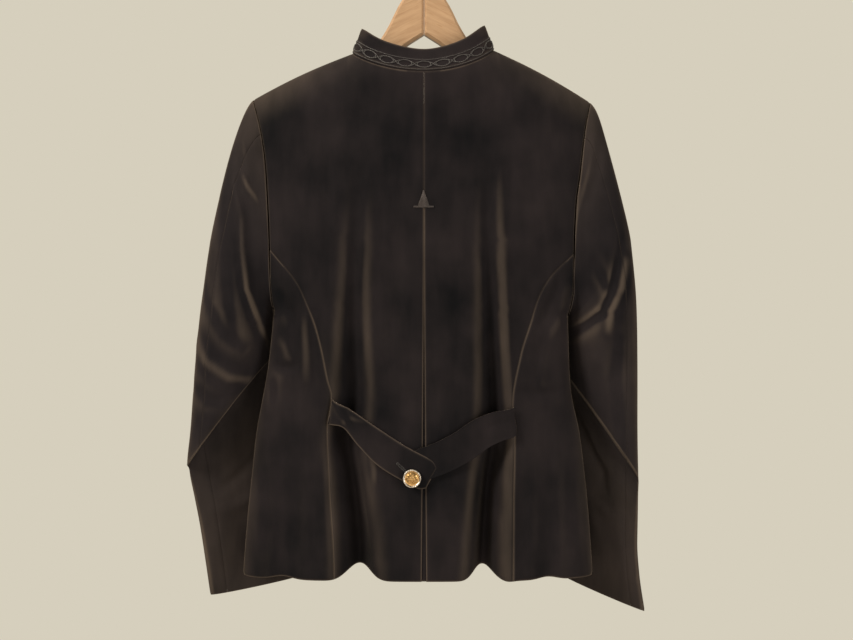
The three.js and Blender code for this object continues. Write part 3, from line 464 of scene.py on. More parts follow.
def hem_edge(face, start, end):
    def edge(t):
        across = start + (end - start) * np.asarray(t, float)
        x = body_point(face, across, np.full(np.shape(across), float(HEM_LEVEL)))[..., 0]
        return np.stack([across, hem_height(face, x)], axis=-1)

    return edge


def neck_height(face, x):
    neck_x, neck_h = of_side(NECK, x)
    low, roundness = NECK_CUT[face]
    inward = np.clip(1 - (x / neck_x) ** 2, 0, 1)
    return neck_h - (neck_h - low) * inward**roundness


def top_edge(face, side, beyond, neck_share):
    """The neckline from the centre, or from beyond it, to the side of the neck at neck_share,
    then the shoulder."""
    sign = SIDES[side]
    neck_x = NECK[side][0]
    tip_x = SHOULDER_TIP[side][0]

    def edge(t):
        t = np.asarray(t, float)
        start = -np.arcsin(min(beyond / neck_x, 1)) if beyond else 0
        turn = start + (np.pi / 2 - start) * np.clip(t / neck_share, 0, 1)
        inside = np.maximum(neck_x * np.sin(turn), -beyond if beyond else CLOSED_SEAM / 2)
        outside = neck_x + (tip_x - neck_x) * (t - neck_share) / (1 - neck_share)
        x = sign * np.where(t <= neck_share, inside, outside)
        fall = np.clip(-inside / beyond, 0, 1) if beyond else 0
        height = np.where(t <= neck_share, neck_height(face, x) - fall, shoulder_height(x))
        own = np.where(t <= neck_share, cloth_height(x, height), height)
        return np.stack([across_at(x, height), own], axis=-1)

    return edge


def patch(face, bottom, top, start, end, u, v):
    """Points of the body between four edges, for every u along and v up. What the bottom and the
    top edge add to straight rows fades away from them."""
    u, v = np.meshgrid(u, v)
    low, high = bottom(u), top(u)
    first, last = start(v), end(v)
    u, v = u[..., None], v[..., None]
    added_low = low - (1 - u) * bottom(0.0) - u * bottom(1.0)
    added_high = high - (1 - u) * top(0.0) - u * top(1.0)
    places = (1 - u) * first + u * last + (1 - v) ** 4 * added_low + v**4 * added_high
    return body_point(face, places[..., 0], places[..., 1])


def steps(count, length, near=(0.5, 1.3, 2.6, 4.5)):
    """Shares of a length in millimetres, closer together at both ends."""
    extra = np.array(near) / length
    return np.unique(np.concatenate([np.linspace(0, 1, count), extra, 1 - extra]))


def armhole_x(face, side, height):
    rows = ARMHOLE[side]
    low, high = rows["h"][0], rows["h"][-1]
    share = np.clip((height - low) / (high - low), 0, 1)
    scoop = ARMHOLE_SCOOP * np.sin(np.pi * share) if face == "front" else 0
    return through(rows, "h", "x", height) - scoop


def armhole_height(side, share):
    tip, low = SHOULDER_TIP[side][1], ARMHOLE[side]["h"][0]
    return tip - (tip - low) * (1 - np.cos(np.pi * share)) / 2


def princess_x(side, height):
    junction = armhole_height(side, JUNCTION)
    rows = PRINCESS[side]
    ended = {
        "h": (*rows["h"], float(junction)),
        "x": (*rows["x"], float(armhole_x("back", side, junction))),
    }
    return through(ended, "h", "x", height)


def grid_normals(points):
    """Unit normals of a grid of points, to the right of its rows seen along its columns."""
    across = np.gradient(points, axis=1)
    up = np.gradient(points, axis=0)
    normals = np.cross(across, up)
    size = np.linalg.norm(normals, axis=-1, keepdims=True)
    return normals / np.maximum(size, 1e-9)


def edge_distance(points):
    """Distance of each point of a grid from the grid's nearest edge, along its rows and columns."""
    nearest = np.full(points.shape[:2], np.inf)
    for axis in (0, 1):
        lengths = np.linalg.norm(np.diff(points, axis=axis), axis=-1)
        pad = [(1, 0), (0, 0)] if axis == 0 else [(0, 0), (1, 0)]
        run = np.cumsum(np.pad(lengths, pad), axis=axis)
        total = np.take(run, [-1], axis=axis)
        nearest = np.minimum(nearest, np.minimum(run, total - run))
    return nearest


def bend(points, normals):
    """How sharply a grid's surface bends outward, in turns for each millimetre."""
    total = 0
    for axis in (0, 1):
        along = np.gradient(points, axis=axis)
        turning = np.gradient(normals, axis=axis)
        size = np.maximum((along**2).sum(-1), 1e-6)
        total = total + (turning * along).sum(-1) / size
    return total


def softened(values, times):
    for _ in range(times):
        padded = np.pad(values, 1, mode="edge")
        values = (
            2 * padded[1:-1, 1:-1]
            + padded[:-2, 1:-1]
            + padded[2:, 1:-1]
            + padded[1:-1, :-2]
            + padded[1:-1, 2:]
        ) / 6
    return values


def mesh_object(name, vertices, faces, material):
    """A smooth-shaded mesh, from heights in millimetres to the frame's metres."""
    placed = (np.asarray(vertices, float) - (0, 0, CROWN)) / 1000
    mesh = bpy.data.meshes.new(name)
    mesh.from_pydata(placed.tolist(), [], [tuple(map(int, face)) for face in faces])
    mesh.validate()
    mesh.shade_smooth()
    made = bpy.data.objects.new(name, mesh)
    bpy.context.scene.collection.objects.link(made)
    mesh.materials.append(material)
    return made


def grid_faces(rows, columns, start=0, flip=False):
    r, c = np.meshgrid(np.arange(rows - 1), np.arange(columns - 1), indexing="ij")
    a = start + (r * columns + c).ravel()
    faces = np.stack([a, a + 1, a + columns + 1, a + columns], axis=-1)
    return faces[:, ::-1] if flip else faces


def ring_faces(rows, sides, closed=False):
    """Faces between rings of points, also from the last ring to the first where it is closed."""
    r, c = np.meshgrid(np.arange(rows if closed else rows - 1), np.arange(sides), indexing="ij")
    below, beside = (r + 1) % rows, (c + 1) % sides
    corners = [r * sides + c, r * sides + beside, below * sides + beside, below * sides + c]
    return np.stack([corner.ravel() for corner in corners], axis=-1)


TURN_IN = 0.8  # of a panel's edge into its seam
TURN_REACH = 1.9
TURNED_WALL = 0.6  # how much of its turn in a panel's edge loses in thickness
EDGE_HIGHLIGHT = 0.65  # painted highlight of the pile along an edge
EDGE_HIGHLIGHT_REACH = 1.1
# Share and softness of the painted highlight on ridges.
RIDGE_HIGHLIGHT = (0.3, 12)
RIDGE_BEND = (0.006, 0.09)  # bends where the painted highlight on ridges begins, and where it is strongest


def wall(
    name, outer, material, outward, thickness=CLOTH, turn_in=TURN_IN, edge_highlight=EDGE_HIGHLIGHT, painted_highlight=RIDGE_HIGHLIGHT, broad_painted_sheen=0
):
    """A wall of cloth from its outer grid, whose edges turn in softly, as sewn edges do. Highlight is
    painted on the pile along the edges by one share, on ridges by a share and a softness, and as sheen
    all over by another share. The outward side is 1 where the grid's normals point out, or -1."""
    normals = grid_normals(outer) * outward
    dip = turn_in * np.exp(-((edge_distance(outer) / TURN_REACH) ** 2))
    outer = outer - normals * dip[..., None]
    inner = outer - normals * (thickness - TURNED_WALL * dip)[..., None]
    rows, columns = outer.shape[:2]
    count = rows * columns
    vertices = np.concatenate([outer.reshape(-1, 3), inner.reshape(-1, 3)])
    rim = np.concatenate(
        [
            np.arange(columns),
            np.arange(1, rows) * columns + columns - 1,
            (rows - 1) * columns + np.arange(columns - 2, -1, -1),
            np.arange(rows - 2, 0, -1) * columns,
        ]
    )
    following = np.roll(rim, -1)
    sides = np.stack([rim, rim + count, following + count, following], axis=-1)
    faces = [
        grid_faces(rows, columns, 0, outward < 0),
        grid_faces(rows, columns, count, outward > 0),
        sides if outward > 0 else sides[:, ::-1],
    ]
    made = mesh_object(name, vertices, np.concatenate(faces), material)
    # Painted highlight on ridges and along the edges, and painted sheen all over by the given share.
    sharp = softened(bend(outer, normals), painted_highlight[1])
    painted_sheen = smooth(*RIDGE_BEND, sharp) * painted_highlight[0]
    edge = edge_highlight * np.exp(-((edge_distance(outer) / EDGE_HIGHLIGHT_REACH) ** 2))
    values = np.maximum(np.maximum(painted_sheen, edge), broad_painted_sheen)
    values = np.concatenate([values.ravel(), np.zeros(count)])
    attribute = made.data.attributes.new("painted_sheen", "FLOAT", "POINT")
    attribute.data.foreach_set("value", values.astype(np.float32))
    return made


def hang(piece, cad_node):
    """Puts a cloth piece on the root in place of its CAD node."""
    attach(piece, "root")
    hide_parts(cad_node)


# Back panels
# Two centre backs, cut from the centre back seam to the princess seams, carry the hanging folds.
# Two side backs run from the princess seams to the side seams, below the armholes.

PLEAT_OPENING = 5.6  # between the centre back's edges at the hem
TACK_HEIGHT = 452
NECK_TURN_IN = 0.1


def turn_in_of(face, points):
    """How far a body panel's edges turn in, least along the neckline, where the collar stands."""
    x, height = points[..., 0], points[..., 2]
    at_neck = smooth(-7, -4, height - neck_height(face, x)) * (np.abs(x) < NECK["left"][0] + 4)
    return TURN_IN - (TURN_IN - NECK_TURN_IN) * at_neck


def back_panels(side):
    sign = SIDES[side]
    junction = float(armhole_height(side, JUNCTION))
    tip = SHOULDER_TIP[side][1]

    def centre_x(h):
        below = np.clip(1 - h / TACK_HEIGHT, 0, 1)
        return sign * (CLOSED_SEAM / 2 + PLEAT_OPENING / 2 * below**1.5)

    def seam(gap):
        return lambda h: sign * (princess_x(side, h) + gap)

    def outer_edge(h):
        return np.where(h < junction, seam(-CLOSED_SEAM / 2)(h), sign * armhole_x("back", side, h))

    level = float(HEM_LEVEL)
    hem_start = float(centre_x(level))
    hem_at_princess = float(hem_height("back", seam(0)(level)))
    top = top_edge("back", side, 0, 0.6)
    points = patch(
        "back",
        hem_edge("back", across_at(hem_start, level), across_at(seam(-CLOSED_SEAM / 2)(level), level)),
        top,
        upright_edge(centre_x, float(hem_height("back", hem_start)), float(top(0.0)[1])),
        upright_edge(outer_edge, hem_at_princess, tip),
        steps(96, 150),
        steps(236, 600),
    )
    # Little highlight is painted at the centre seam above the tack, at the armhole and where the
    # princeps seam nears it. Sheen is painted light along the shoulder, most at its tip.
    out, height = np.abs(points[..., 0]), points[..., 2]
    edge_highlight = np.where(out > 100, EDGE_HIGHLIGHT - 0.4 * smooth(300, 350, height), EDGE_HIGHLIGHT)
    edge_highlight = np.where((out < 20) & (height > TACK_HEIGHT), 0.2, edge_highlight)
    below_shoulder = shoulder_height(points[..., 0]) - height
    broad_painted_sheen = 0.3 * (1 - smooth(0, 55, below_shoulder)) * (0.25 + 0.75 * smooth(90, 190, out))
    turn_in = turn_in_of("back", points)
    centre = wall(
        f"centre_back_{side}", points, body_velvet, -sign, CLOTH, turn_in, edge_highlight, broad_painted_sheen=broad_painted_sheen
    )
    hang(centre, f"back_{side}")

    side_top = junction - CLOSED_SEAM
    underarm = ARMHOLE[side]["h"][0]
    hem_at_side = float(hem_height("back", sign * HALF_WIDTH[side]["width"][1]))

    def under_armhole(t):
        t = np.asarray(t, float)
        own = np.minimum(armhole_height(side, JUNCTION + (1 - JUNCTION) * t), side_top)
        x = np.where(t > 0, sign * armhole_x("back", side, own), seam(CLOSED_SEAM / 2)(own))
        return np.stack([across_at(x, own), own], axis=-1)

    def side_seam(t):
        own = hem_at_side + (underarm - hem_at_side) * np.asarray(t, float)
        return np.stack([np.full(np.shape(own), float(sign)), own], axis=-1)

    points = patch(
        "back",
        hem_edge("back", across_at(seam(CLOSED_SEAM / 2)(level), level), float(sign)),
        under_armhole,
        upright_edge(seam(CLOSED_SEAM / 2), hem_at_princess, side_top),
        side_seam,
        steps(64, 120),
        steps(150, 340),
    )
    # Less highlight is painted along the edges near the armhole.
    faint = smooth(290, 340, points[..., 2]) * (np.abs(points[..., 0]) < 170)
    beside = wall(f"side_back_panel_{side}", points, body_velvet, -sign, edge_highlight=0.6 - 0.4 * faint)
    hang(beside, f"side_back_{side}")


for side in SIDES:
    back_panels(side)


# Pleat underlay
# A strip of the same velvet, sewn in behind the centre back's edges below the arrowhead tack.
# It shows where these edges part a little towards the hem.

UNDERLAY_CUT = {"flat": (0.056, 0.444), "area": 0.0248}


def pleat_underlay():
    half = UNDERLAY_CUT["flat"][0] * 1000 / 2
    top = TACK_HEIGHT - 8.0
    level = float(HEM_LEVEL)

    def across_top(t):
        x = half * (2 * np.asarray(t, float) - 1)
        return np.stack([across_at(x, top), np.full(np.shape(x), top)], axis=-1)

    def edge(x):
        return upright_edge(lambda h: x + 0 * h, float(hem_height("back", x)), top)

    points = patch(
        "back",
        hem_edge("back", across_at(-half, level), across_at(half, level)),
        across_top,
        edge(-half),
        edge(half),
        steps(24, 2 * half),
        steps(100, top),
    )
    points = points + grid_normals(points) * (CLOTH + 0.5)
    underlay = wall("pleat_underlay", points, body_velvet, -1)
    hang(underlay, "back_pleat")


pleat_underlay()


# Fronts
# Plain fronts from the centre to the side seams. The right one laps over the left, and the
# buttons close them from the neck to the waist.

LAP = 20
LAP_LIFT = CLOTH + 0.5


def front_panel(side):
    sign = SIDES[side]
    edge_x = -sign * LAP
    underarm = float(ARMHOLE[side]["h"][0])
    tip = SHOULDER_TIP[side][1]
    height = tip - HEM_LEVEL
    at_underarm = (underarm - HEM_LEVEL) / height
    armhole = upright_edge(lambda h: sign * armhole_x("front", side, h), underarm, tip)

    def outer_edge(t):
        t = np.asarray(t, float)
        own = HEM_LEVEL + height * t
        below = np.stack([np.full(np.shape(t), float(sign)), own], axis=-1)
        above = armhole(np.clip((t - at_underarm) / (1 - at_underarm), 0, 1))
        return np.where((t <= at_underarm)[..., None], below, above)

    top = top_edge("front", side, LAP, 0.6)
    level = float(HEM_LEVEL)
    points = patch(
        "front",
        hem_edge("front", across_at(edge_x, level), float(sign)),
        top,
        upright_edge(
            lambda h: edge_x + 0 * h, float(hem_height("front", edge_x)), float(top(0.0)[1])
        ),
        outer_edge,
        steps(76, 220),
        steps(150, 600),
    )
    if side == "right":
        lift = LAP_LIFT * smooth(-LAP - 22, -LAP - 4, points[..., 0])
        points = points + grid_normals(points) * sign * lift[..., None]
    panel = wall(
        f"front_panel_{side}", points, body_velvet, sign, CLOTH, turn_in_of("front", points)
    )
    hang(panel, f"front_{side}")


for side in SIDES:
    front_panel(side)


# Sleeves
# Long two-piece sleeves. Each hangs from its armhole as a flattened tube, and its back layer
# folds over itself at the elbow. Sections run from the armhole to the cuff, each between an
# outer and an inner edge, swollen to the back and the front.

SLEEVE_TURN_IN = 0.45
# Share and softness of the painted highlight on the sleeves' ridges.
SLEEVE_RIDGE_HIGHLIGHT = (0.55, 4)
# The same velvet, painted a shade lighter on the arms for the light they catch.
lighter_painted_sleeve_velvet = velvet("dark_brown_cotton_velvet_sleeves_painted_lighter", "#171517", "#2b2627")

SLEEVE_AT = (0, 0.3, 0.62, 1, 2, 3, 4, 5, 5.3, 5.6, 6.2, 7, 8, 9)
SLEEVE_LOOSE = (0, 0.35, 0.7, 1, 1, 1, 1, 1, 1, 1, 1, 1, 1, 1)  # share free of the armhole's edge
SLEEVE = {
    "left": {
        "at": SLEEVE_AT,
        "ox": (212, 229, 247, 262, 273, 281, 287, 292, 291, 290, 286, 280, 274, 268),
        "oy": (0, 0, 1, 2, 3, 2, 0, -3, -6, -8, -14, -18, -20, -22),
        "oh": (584, 558, 498, 410, 333, 255, 180, 134, 128, 118, 92, 56, 14, -31),
        "ix": (184, 187, 186.6, 186.6, 186, 186.5, 187.5, 189, 189.5, 189, 180, 169, 159, 153),
        "iy": (0, 1, 2, 3, 4, 2, -2, -6, -10, -16, -34, -50, -60, -64),
        "ih": (325, 336, 331, 319, 302, 290, 279, 268, 262, 250, 216, 150, 66, -16),
        "back": (30, 30, 31, 31, 30, 28, 25, 22, 9, 4, 8, 13, 14, 13),
        "front": (30, 30, 30, 28, 26, 24, 22, 20, 18, 17, 16, 15, 15, 14),
        "tuck": (0, 0, 0, 0, 0, 0, 0, 0, 8, 6, 0, 0, 0, 0),
        "forward": (0, 0, 5, 16, 32, 31, 27, 23, 20, 16, 6, 0, 0, 0),
        "loose": SLEEVE_LOOSE,
    },
    "right": {
        "at": SLEEVE_AT,
        "ox": (206, 223, 237, 254, 261, 263, 264, 266, 267, 267, 267, 267, 270, 277),
        "oy": (0, 0, 0, 0, 0, -3, -7, -11, -13, -15, -17, -20, -22, -24),
        "oh": (581, 556, 495, 410, 330, 254, 180, 120, 108, 96, 72, 36, -6, -52),
        "ix": (176, 180.4, 179.6, 178.6, 177, 176.5, 177, 178.5, 179, 180, 181, 180, 180, 180),
        "iy": (0, 0, 0, 0, -1, -6, -14, -24, -28, -34, -42, -50, -57, -62),
        "ih": (319, 330, 325, 313, 294, 280, 264, 246, 238, 226, 190, 130, 56, -18),
        "back": (30, 30, 30, 30, 29, 26, 23, 20, 12, 9, 12, 14, 14, 14),
        "front": (30, 30, 30, 28, 26, 24, 22, 20, 19, 18, 17, 16, 15, 14),
        "tuck": (0, 0, 0, 0, 0, 0, 0, 0, 4, 3, 0, 0, 0, 0),
        "forward": (0, 0, 5, 15, 28, 24, 16, 9, 6, 4, 0, 0, 0, 0),
        "loose": SLEEVE_LOOSE,
    },
}
SLEEVE_LEVELS = (0, 0.3, 0.62, 1, 1.5, 2, 3, 4, 4.7, 5, 5.15, 5.3, 5.6, 6.2, 7, 8, 9)
SLEEVE_FULLNESS = 0.8
SLEEVE_BEND = 6
SLEEVE_SEAM = 0.1
ARMHOLE_EASE = 1.15
BACK_SEAM = 4 / 28  # share of the way round the sleeve, from its outer edge by way of the back
FRONT_SEAM = 20 / 28

SLEEVE_CREASES = {
    "left": [
        (
            [(236, 510), (227, 466), (219, 432), (218, 398), (213, 350), (203, 316), (194, 288), (189, 262)],
            *(-5.2, 4, 6),
        ),
        ([(222, 548), (216, 512), (209, 484)], -2.6, 4, 5),
        ([(222, 498), (211, 472), (200, 458), (191, 454)], -4.2, 5, 3.5),
        ([(246, 470), (240, 400), (234, 330), (226, 280)], 2.6, 9, 8),
        ([(276, 380), (262, 330), (240, 296), (214, 276)], 2.0, 8, 9),
        ([(284, 300), (262, 262), (236, 244), (206, 240)], -2.4, 8, 7),
        ([(286, 236), (262, 218), (238, 214)], 1.8, 8, 8),
        ([(262, 96), (232, 120), (204, 150), (186, 182)], 2.4, 7, 6),
        ([(270, 74), (240, 78), (206, 96), (176, 124)], -2.0, 8, 7),
        ([(232, 70), (220, 34), (214, -4)], 1.6, 9, 7),
    ],
    "right": [
        ([(-217, 548), (-208, 490), (-194, 450), (-182, 428)], 2.2, 7, 6),
        ([(-206, 552), (-199, 500), (-188, 460)], -2.0, 6, 6),
        ([(-244, 420), (-234, 384), (-226, 346), (-215, 322), (-196, 307), (-166, 286)], 4.2, 5, 8),
        ([(-246, 392), (-237, 352), (-224, 324), (-222, 294)], -3.0, 6, 7),
        ([(-200, 388), (-213, 367), (-222, 344)], 1.8, 5, 6),
        ([(-160, 256), (-183, 212), (-198, 178), (-211, 148), (-224, 124), (-228, 92)], 5.0, 8, 4),
        ([(-182, 206), (-192, 150), (-202, 98), (-220, 40)], -3.0, 7, 8),
        ([(-236, 300), (-232, 240), (-240, 180), (-244, 120)], 2.2, 8, 9),
        ([(-212, 90), (-224, 76), (-238, 64)], -1.8, 6, 6),
        ([(-250, 92), (-254, 40), (-262, -10)], 1.8, 7, 8),
    ],
    "front": [
        ([(268, 380), (246, 330), (222, 300)], 2.2, 9, 8),
        ([(284, 240), (252, 220), (214, 226)], 3.0, 9, 7),
        ([(278, 170), (240, 170), (206, 190)], -2.4, 8, 8),
        ([(250, 96), (228, 40), (216, -8)], 1.8, 8, 9),
        ([(-256, 376), (-232, 328), (-208, 300)], 2.2, 8, 9),
        ([(-262, 236), (-230, 214), (-194, 222)], 3.0, 7, 9),
        ([(-264, 166), (-228, 160), (-194, 178)], -2.4, 8, 8),
        ([(-240, 90), (-232, 30), (-240, -20)], 1.8, 9, 8),
    ],
}


def armhole_edge(side, around):
    """Points of the body's armhole edge, the cloth's direction out there and the share down it."""
    sign = SIDES[side]
    low, tip = ARMHOLE[side]["h"][0], SHOULDER_TIP[side][1]
    down = (1 - np.cos(2 * np.pi * around)) / 2
    behind = (around % 1 < 0.5)[..., None]
    points = []
    normals = []
    for face in ("back", "front"):
        edge = upright_edge(lambda h: sign * armhole_x(face, side, h), tip, low)(down)
        across, own = edge[..., 0], edge[..., 1]
        points.append(body_point(face, across, own))
        normals.append(body_normal(face, across, own))
    return np.where(behind, *points), np.where(behind, *normals), down


def sleeve_head(side):
    """The sleeve's first section, a seam's gap from the armhole towards the hole's middle, as a
    function of the share of the way round."""
    step = 0.004
    around = np.linspace(-0.32, 0.76, 1100)
    point, normal, down = armhole_edge(side, around)
    ahead = armhole_edge(side, around + step)[0]
    before = armhole_edge(side, around - step)[0]
    away = np.cross(ahead - before, normal)
    away = away / np.linalg.norm(away, axis=-1, keepdims=True)
    middle = np.array([SIDES[side] * (SHOULDER_TIP[side][0] + 25), 0, 450])
    wrong = ((middle - point) * away).sum(-1, keepdims=True) < 0
    away = np.where(wrong, -away, away)
    ease = ARMHOLE_EASE * down[..., None]
    head = point + away * (SEAM + ease) + normal * ease
    return lambda share: np.stack([np.interp(share, around, head[:, i]) for i in range(3)], axis=-1)


SLEEVE_HEAD = {side: sleeve_head(side) for side in SIDES}


def sleeve_point(side, around, along):
    rows = SLEEVE[side]
    sign = SIDES[side]

    def value(column):
        return through(rows, "at", column, along)

    inward = (1 - np.cos(2 * np.pi * around)) / 2
    swing = np.sin(2 * np.pi * around)
    swell = np.sign(swing) * np.abs(swing) ** SLEEVE_FULLNESS
    x = sign * (value("ox") * (1 - inward) + value("ix") * inward)
    y = value("oy") * (1 - inward) + value("iy") * inward
    height = value("oh") * (1 - inward) + value("ih") * inward
    y = y + swell * np.where(swing > 0, value("back"), value("front"))
    y = y - value("forward") * inward**SLEEVE_BEND
    height = height + value("tuck") * np.sqrt(np.maximum(swing, 0))
    free = np.stack([x, y, height], axis=-1)
    loose = value("loose")[..., None]
    return SLEEVE_HEAD[side](around) * (1 - loose) + free * loose


def sleeve_panel(part, side, start, end, columns, cad_part):
    """One of a sleeve's two panels, between two shares of the way round it."""
    count = len(SLEEVE_LEVELS)
    levels = np.interp(np.linspace(0, count - 1, 250), np.arange(count), SLEEVE_LEVELS)
    levels = np.unique(np.concatenate([levels, [0.008, 0.02, 0.04, 8.95, 8.97, 8.985, 8.994]]))
    around, along = np.meshgrid(start + (end - start) * steps(columns, 130), levels)
    tiny = 0.002
    speed = sleeve_point(side, around + tiny, along) - sleeve_point(side, around - tiny, along)
    speed = np.linalg.norm(speed, axis=-1) / (2 * tiny)
    middle = (start + end) / 2
    shift = SLEEVE_SEAM / 2 / speed * np.clip((middle - around) / (middle - start), -1, 1)
    points = sleeve_point(side, around + shift, along)
    sign = SIDES[side]
    normals = grid_normals(points) * -sign
    for face, toward in ((side, 1), ("front", -1)):
        facing = np.clip(normals[..., 1] * toward * 1.6, 0, 1)
        loose = smooth(0.05, 0.7, along)
        depth = crease_depth(SLEEVE_CREASES[face], points[..., 0], points[..., 2])
        points = points - normals * (depth * facing * loose)[..., None]
    # Highlight is painted at the armhole and the cuff, and sheen is painted light on the sleeve's
    # head and below the elbow.
    edge_highlight = np.where((along < 0.05) | (along > 8.95), 0.6, 0.08)
    upper = (1 + np.cos(2 * np.pi * around)) / 2
    broad_painted_sheen = 0.3 * upper**2 * (1 - smooth(0, 0.9, along)) + 0.16 * smooth(4.5, 6.5, along)
    name = f"{part}_sleeve_{side}"
    made = wall(
        name, points, lighter_painted_sleeve_velvet, -sign, CLOTH, SLEEVE_TURN_IN, edge_highlight, SLEEVE_RIDGE_HIGHLIGHT, broad_painted_sheen
    )
    hang(made, f"{cad_part}_sleeve_{side}")


for side in SIDES:
    sleeve_panel("outer", side, FRONT_SEAM - 1, BACK_SEAM, 72, "top")
    sleeve_panel("inner", side, BACK_SEAM, FRONT_SEAM, 90, "under")


# Stand collar
# One strip that stands on the neckline. A braid covers its lower half: two lines of silk thread
# with a chain of linked ovals between them.

COLLAR_GAP = 0.05
COLLAR_HEIGHT = 32
COLLAR_THICKNESS = 2.4
COLLAR_LEAN = 0.36
COLLAR_TURN_IN = 0.45
BRAID = {"low": 1.4, "high": 17.2, "raise": 0.5}
LINK = {"spacing": 22.6, "length": 16.5, "height": 8.6}


def neck_point(share):
    x = np.where(share >= 0, NECK["left"][0], NECK["right"][0]) * np.sin(np.pi * share)
    points = []
    for face in ("back", "front"):
        height = neck_height(face, x)
        points.append(body_point(face, across_at(x, height), cloth_height(x, height)))
    return np.where((np.abs(share) <= 0.5)[..., None], *points)


def unit(vectors):
    return vectors / np.linalg.norm(vectors, axis=-1, keepdims=True)


def collar_frames(share):
    step = 0.012
    point = neck_point(share)
    along = unit(neck_point(np.minimum(share + step, 1)) - neck_point(np.maximum(share - step, -1)))
    inward = point * (-1, -1, 0)
    rising = unit(inward) * COLLAR_LEAN + (0, 0, 1)
    up = unit(rising - along * (rising * along).sum(-1, keepdims=True))
    outward = unit(np.cross(up, along))
    flip = (outward * point * (1, 1, 0)).sum(-1, keepdims=True) < 0
    return point, up, np.where(flip, -outward, outward)


def collar_point(share, rise, lift=0.0):
    """Points of the collar's outer face, rise millimetres up it and lift out of it."""
    share, rise, lift = np.broadcast_arrays(*map(np.asarray, (share, rise, lift)))
    foot, up, outward = collar_frames(share.astype(float))
    band = smooth(BRAID["low"] - 0.5, BRAID["low"] + 0.3, rise)
    band = band - smooth(BRAID["high"] - 0.3, BRAID["high"] + 0.5, rise)
    out = lift + BRAID["raise"] * band
    return foot + up * (COLLAR_GAP + rise)[..., None] + outward * out[..., None]


def tube(points, radius, sides=6, closed=False):
    """Vertices and faces of a round thread along points."""
    points = np.asarray(points, float)
    if closed:
        ahead = np.roll(points, -1, axis=0) - np.roll(points, 1, axis=0)
    else:
        ahead = np.gradient(points, axis=0)
    ahead = unit(ahead)
    steady = np.array([0.31, 0.92, 0.24])
    first = unit(np.cross(ahead, steady))
    second = np.cross(ahead, first)
    turn = np.linspace(0, 2 * np.pi, sides, endpoint=False)[None, :, None]
    rings = points[:, None] + radius * (np.cos(turn) * first[:, None] + np.sin(turn) * second[:, None])
    vertices = rings.reshape(-1, 3)
    faces = ring_faces(len(points), sides, closed).tolist()
    if not closed:
        ends, last = len(vertices), (len(points) - 1) * sides
        vertices = np.concatenate([vertices, points[:1], points[-1:]])
        for c in range(sides):
            beside = (c + 1) % sides
            faces += [[ends, beside, c], [ends + 1, last + c, last + beside]]
    return vertices, faces


def threads(name, tubes, material):
    """One piece of many threads, sewn on the velvet."""
    vertices, faces, start = [], [], 0
    for points, sides in tubes:
        vertices.append(points)
        faces += [[start + i for i in face] for face in sides]
        start += len(points)
    made = mesh_object(name, np.concatenate(vertices), faces, material)
    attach(made, "root")


def silk(name, code):
    """Twisted silk thread, a little glossy. The twist gives it fine slanting ribs."""
    material, tree, shader = new_material(name, {"Roughness": 0.55, "Sheen Weight": 0.15})
    place = node(tree, "ShaderNodeTexCoord").outputs["Object"]
    ribs = {"Scale": metres_scale(1.1), "Distortion": 1.5, "bands_direction": "DIAGONAL"}
    twist = node(tree, "ShaderNodeTexWave", ribs, {"Vector": place}).outputs["Fac"]
    dyeing = {"Scale": metres_scale(6), "Detail": 2.0}
    uneven = node(tree, "ShaderNodeTexNoise", dyeing, {"Vector": place}).outputs["Fac"]
    base = colour(code)
    paler = tuple(min(1, c * 1.7 + 0.004) for c in base[:3]) + (1.0,)
    shade = node(tree, "ShaderNodeMix", {"data_type": "RGBA", 6: base, 7: paler}, {0: uneven})
    tree.links.new(shade.outputs[2], shader.inputs["Base Color"])
    bump = node(tree, "ShaderNodeBump", {"Strength": 0.5, "Distance": 0.0002}, {"Height": twist})
    tree.links.new(bump.outputs["Normal"], shader.inputs["Normal"])
    return material


# Almost black, and told from the velvet by its gloss.
braid_silk = silk("dark_silk_thread", "#231e1c")


def stand_collar():
    end = 1 - SEAM / 2 / (np.pi * NECK["left"][0])
    share, rise = np.meshgrid(np.linspace(-end, end, 330), steps(26, COLLAR_HEIGHT) * COLLAR_HEIGHT)
    # Highlight is painted strongly along the upper edges of the collar and faintly along its foot.
    edge_highlight = np.where(rise > COLLAR_HEIGHT / 2, 0.7, 0.1)
    points = collar_point(share, rise)
    collar = wall("stand_collar", points, body_velvet, -1, COLLAR_THICKNESS, COLLAR_TURN_IN, edge_highlight)
    hang(collar, "collar")

    fine = np.linspace(-end, end, 1400)
    middle_rise = (BRAID["low"] + BRAID["high"]) / 2
    line = collar_point(fine, middle_rise)
    run = np.concatenate([[0], np.cumsum(np.linalg.norm(np.diff(line, axis=0), axis=-1))])

    def share_at(distance):
        return np.interp(distance, run, fine)

    stitched = []
    for level in (BRAID["low"] + 1.2, BRAID["high"] - 1.2):
        stitched.append(tube(collar_point(np.linspace(-end, end, 420), level, 0.15), 0.42))
    centre = float(np.interp(0, fine, run))
    count = int((run[-1] / 2 - LINK["length"]) / LINK["spacing"])
    for i in range(-count, count + 1):
        at = centre + i * LINK["spacing"]
        turn = np.linspace(0, 2 * np.pi, 26, endpoint=False)
        wide = at + LINK["length"] / 2 * np.cos(turn)
        tall = middle_rise + LINK["height"] / 2 * np.sin(turn)
        stitched.append(tube(collar_point(share_at(wide), tall, 0.35), 0.62, 6, True))
        if i == count:
            continue
        t = np.linspace(0, 1, 16)
        gap = LINK["spacing"] - LINK["length"]
        between = at + LINK["length"] / 2 - 2.4 + t * (gap + 4.8)
        for sign in (1, -1):
            sway = sign * LINK["height"] * 0.34 * np.cos(np.pi * t)
            stitched.append(tube(collar_point(share_at(between), middle_rise + sway, 0.5), 0.5))
    threads("collar_braid", stitched, braid_silk)


stand_collar()


# Half belt
# Two shaped halves caught in the princess seams. The left one laps over the right and is held by
# the metal button, through a worked buttonhole.

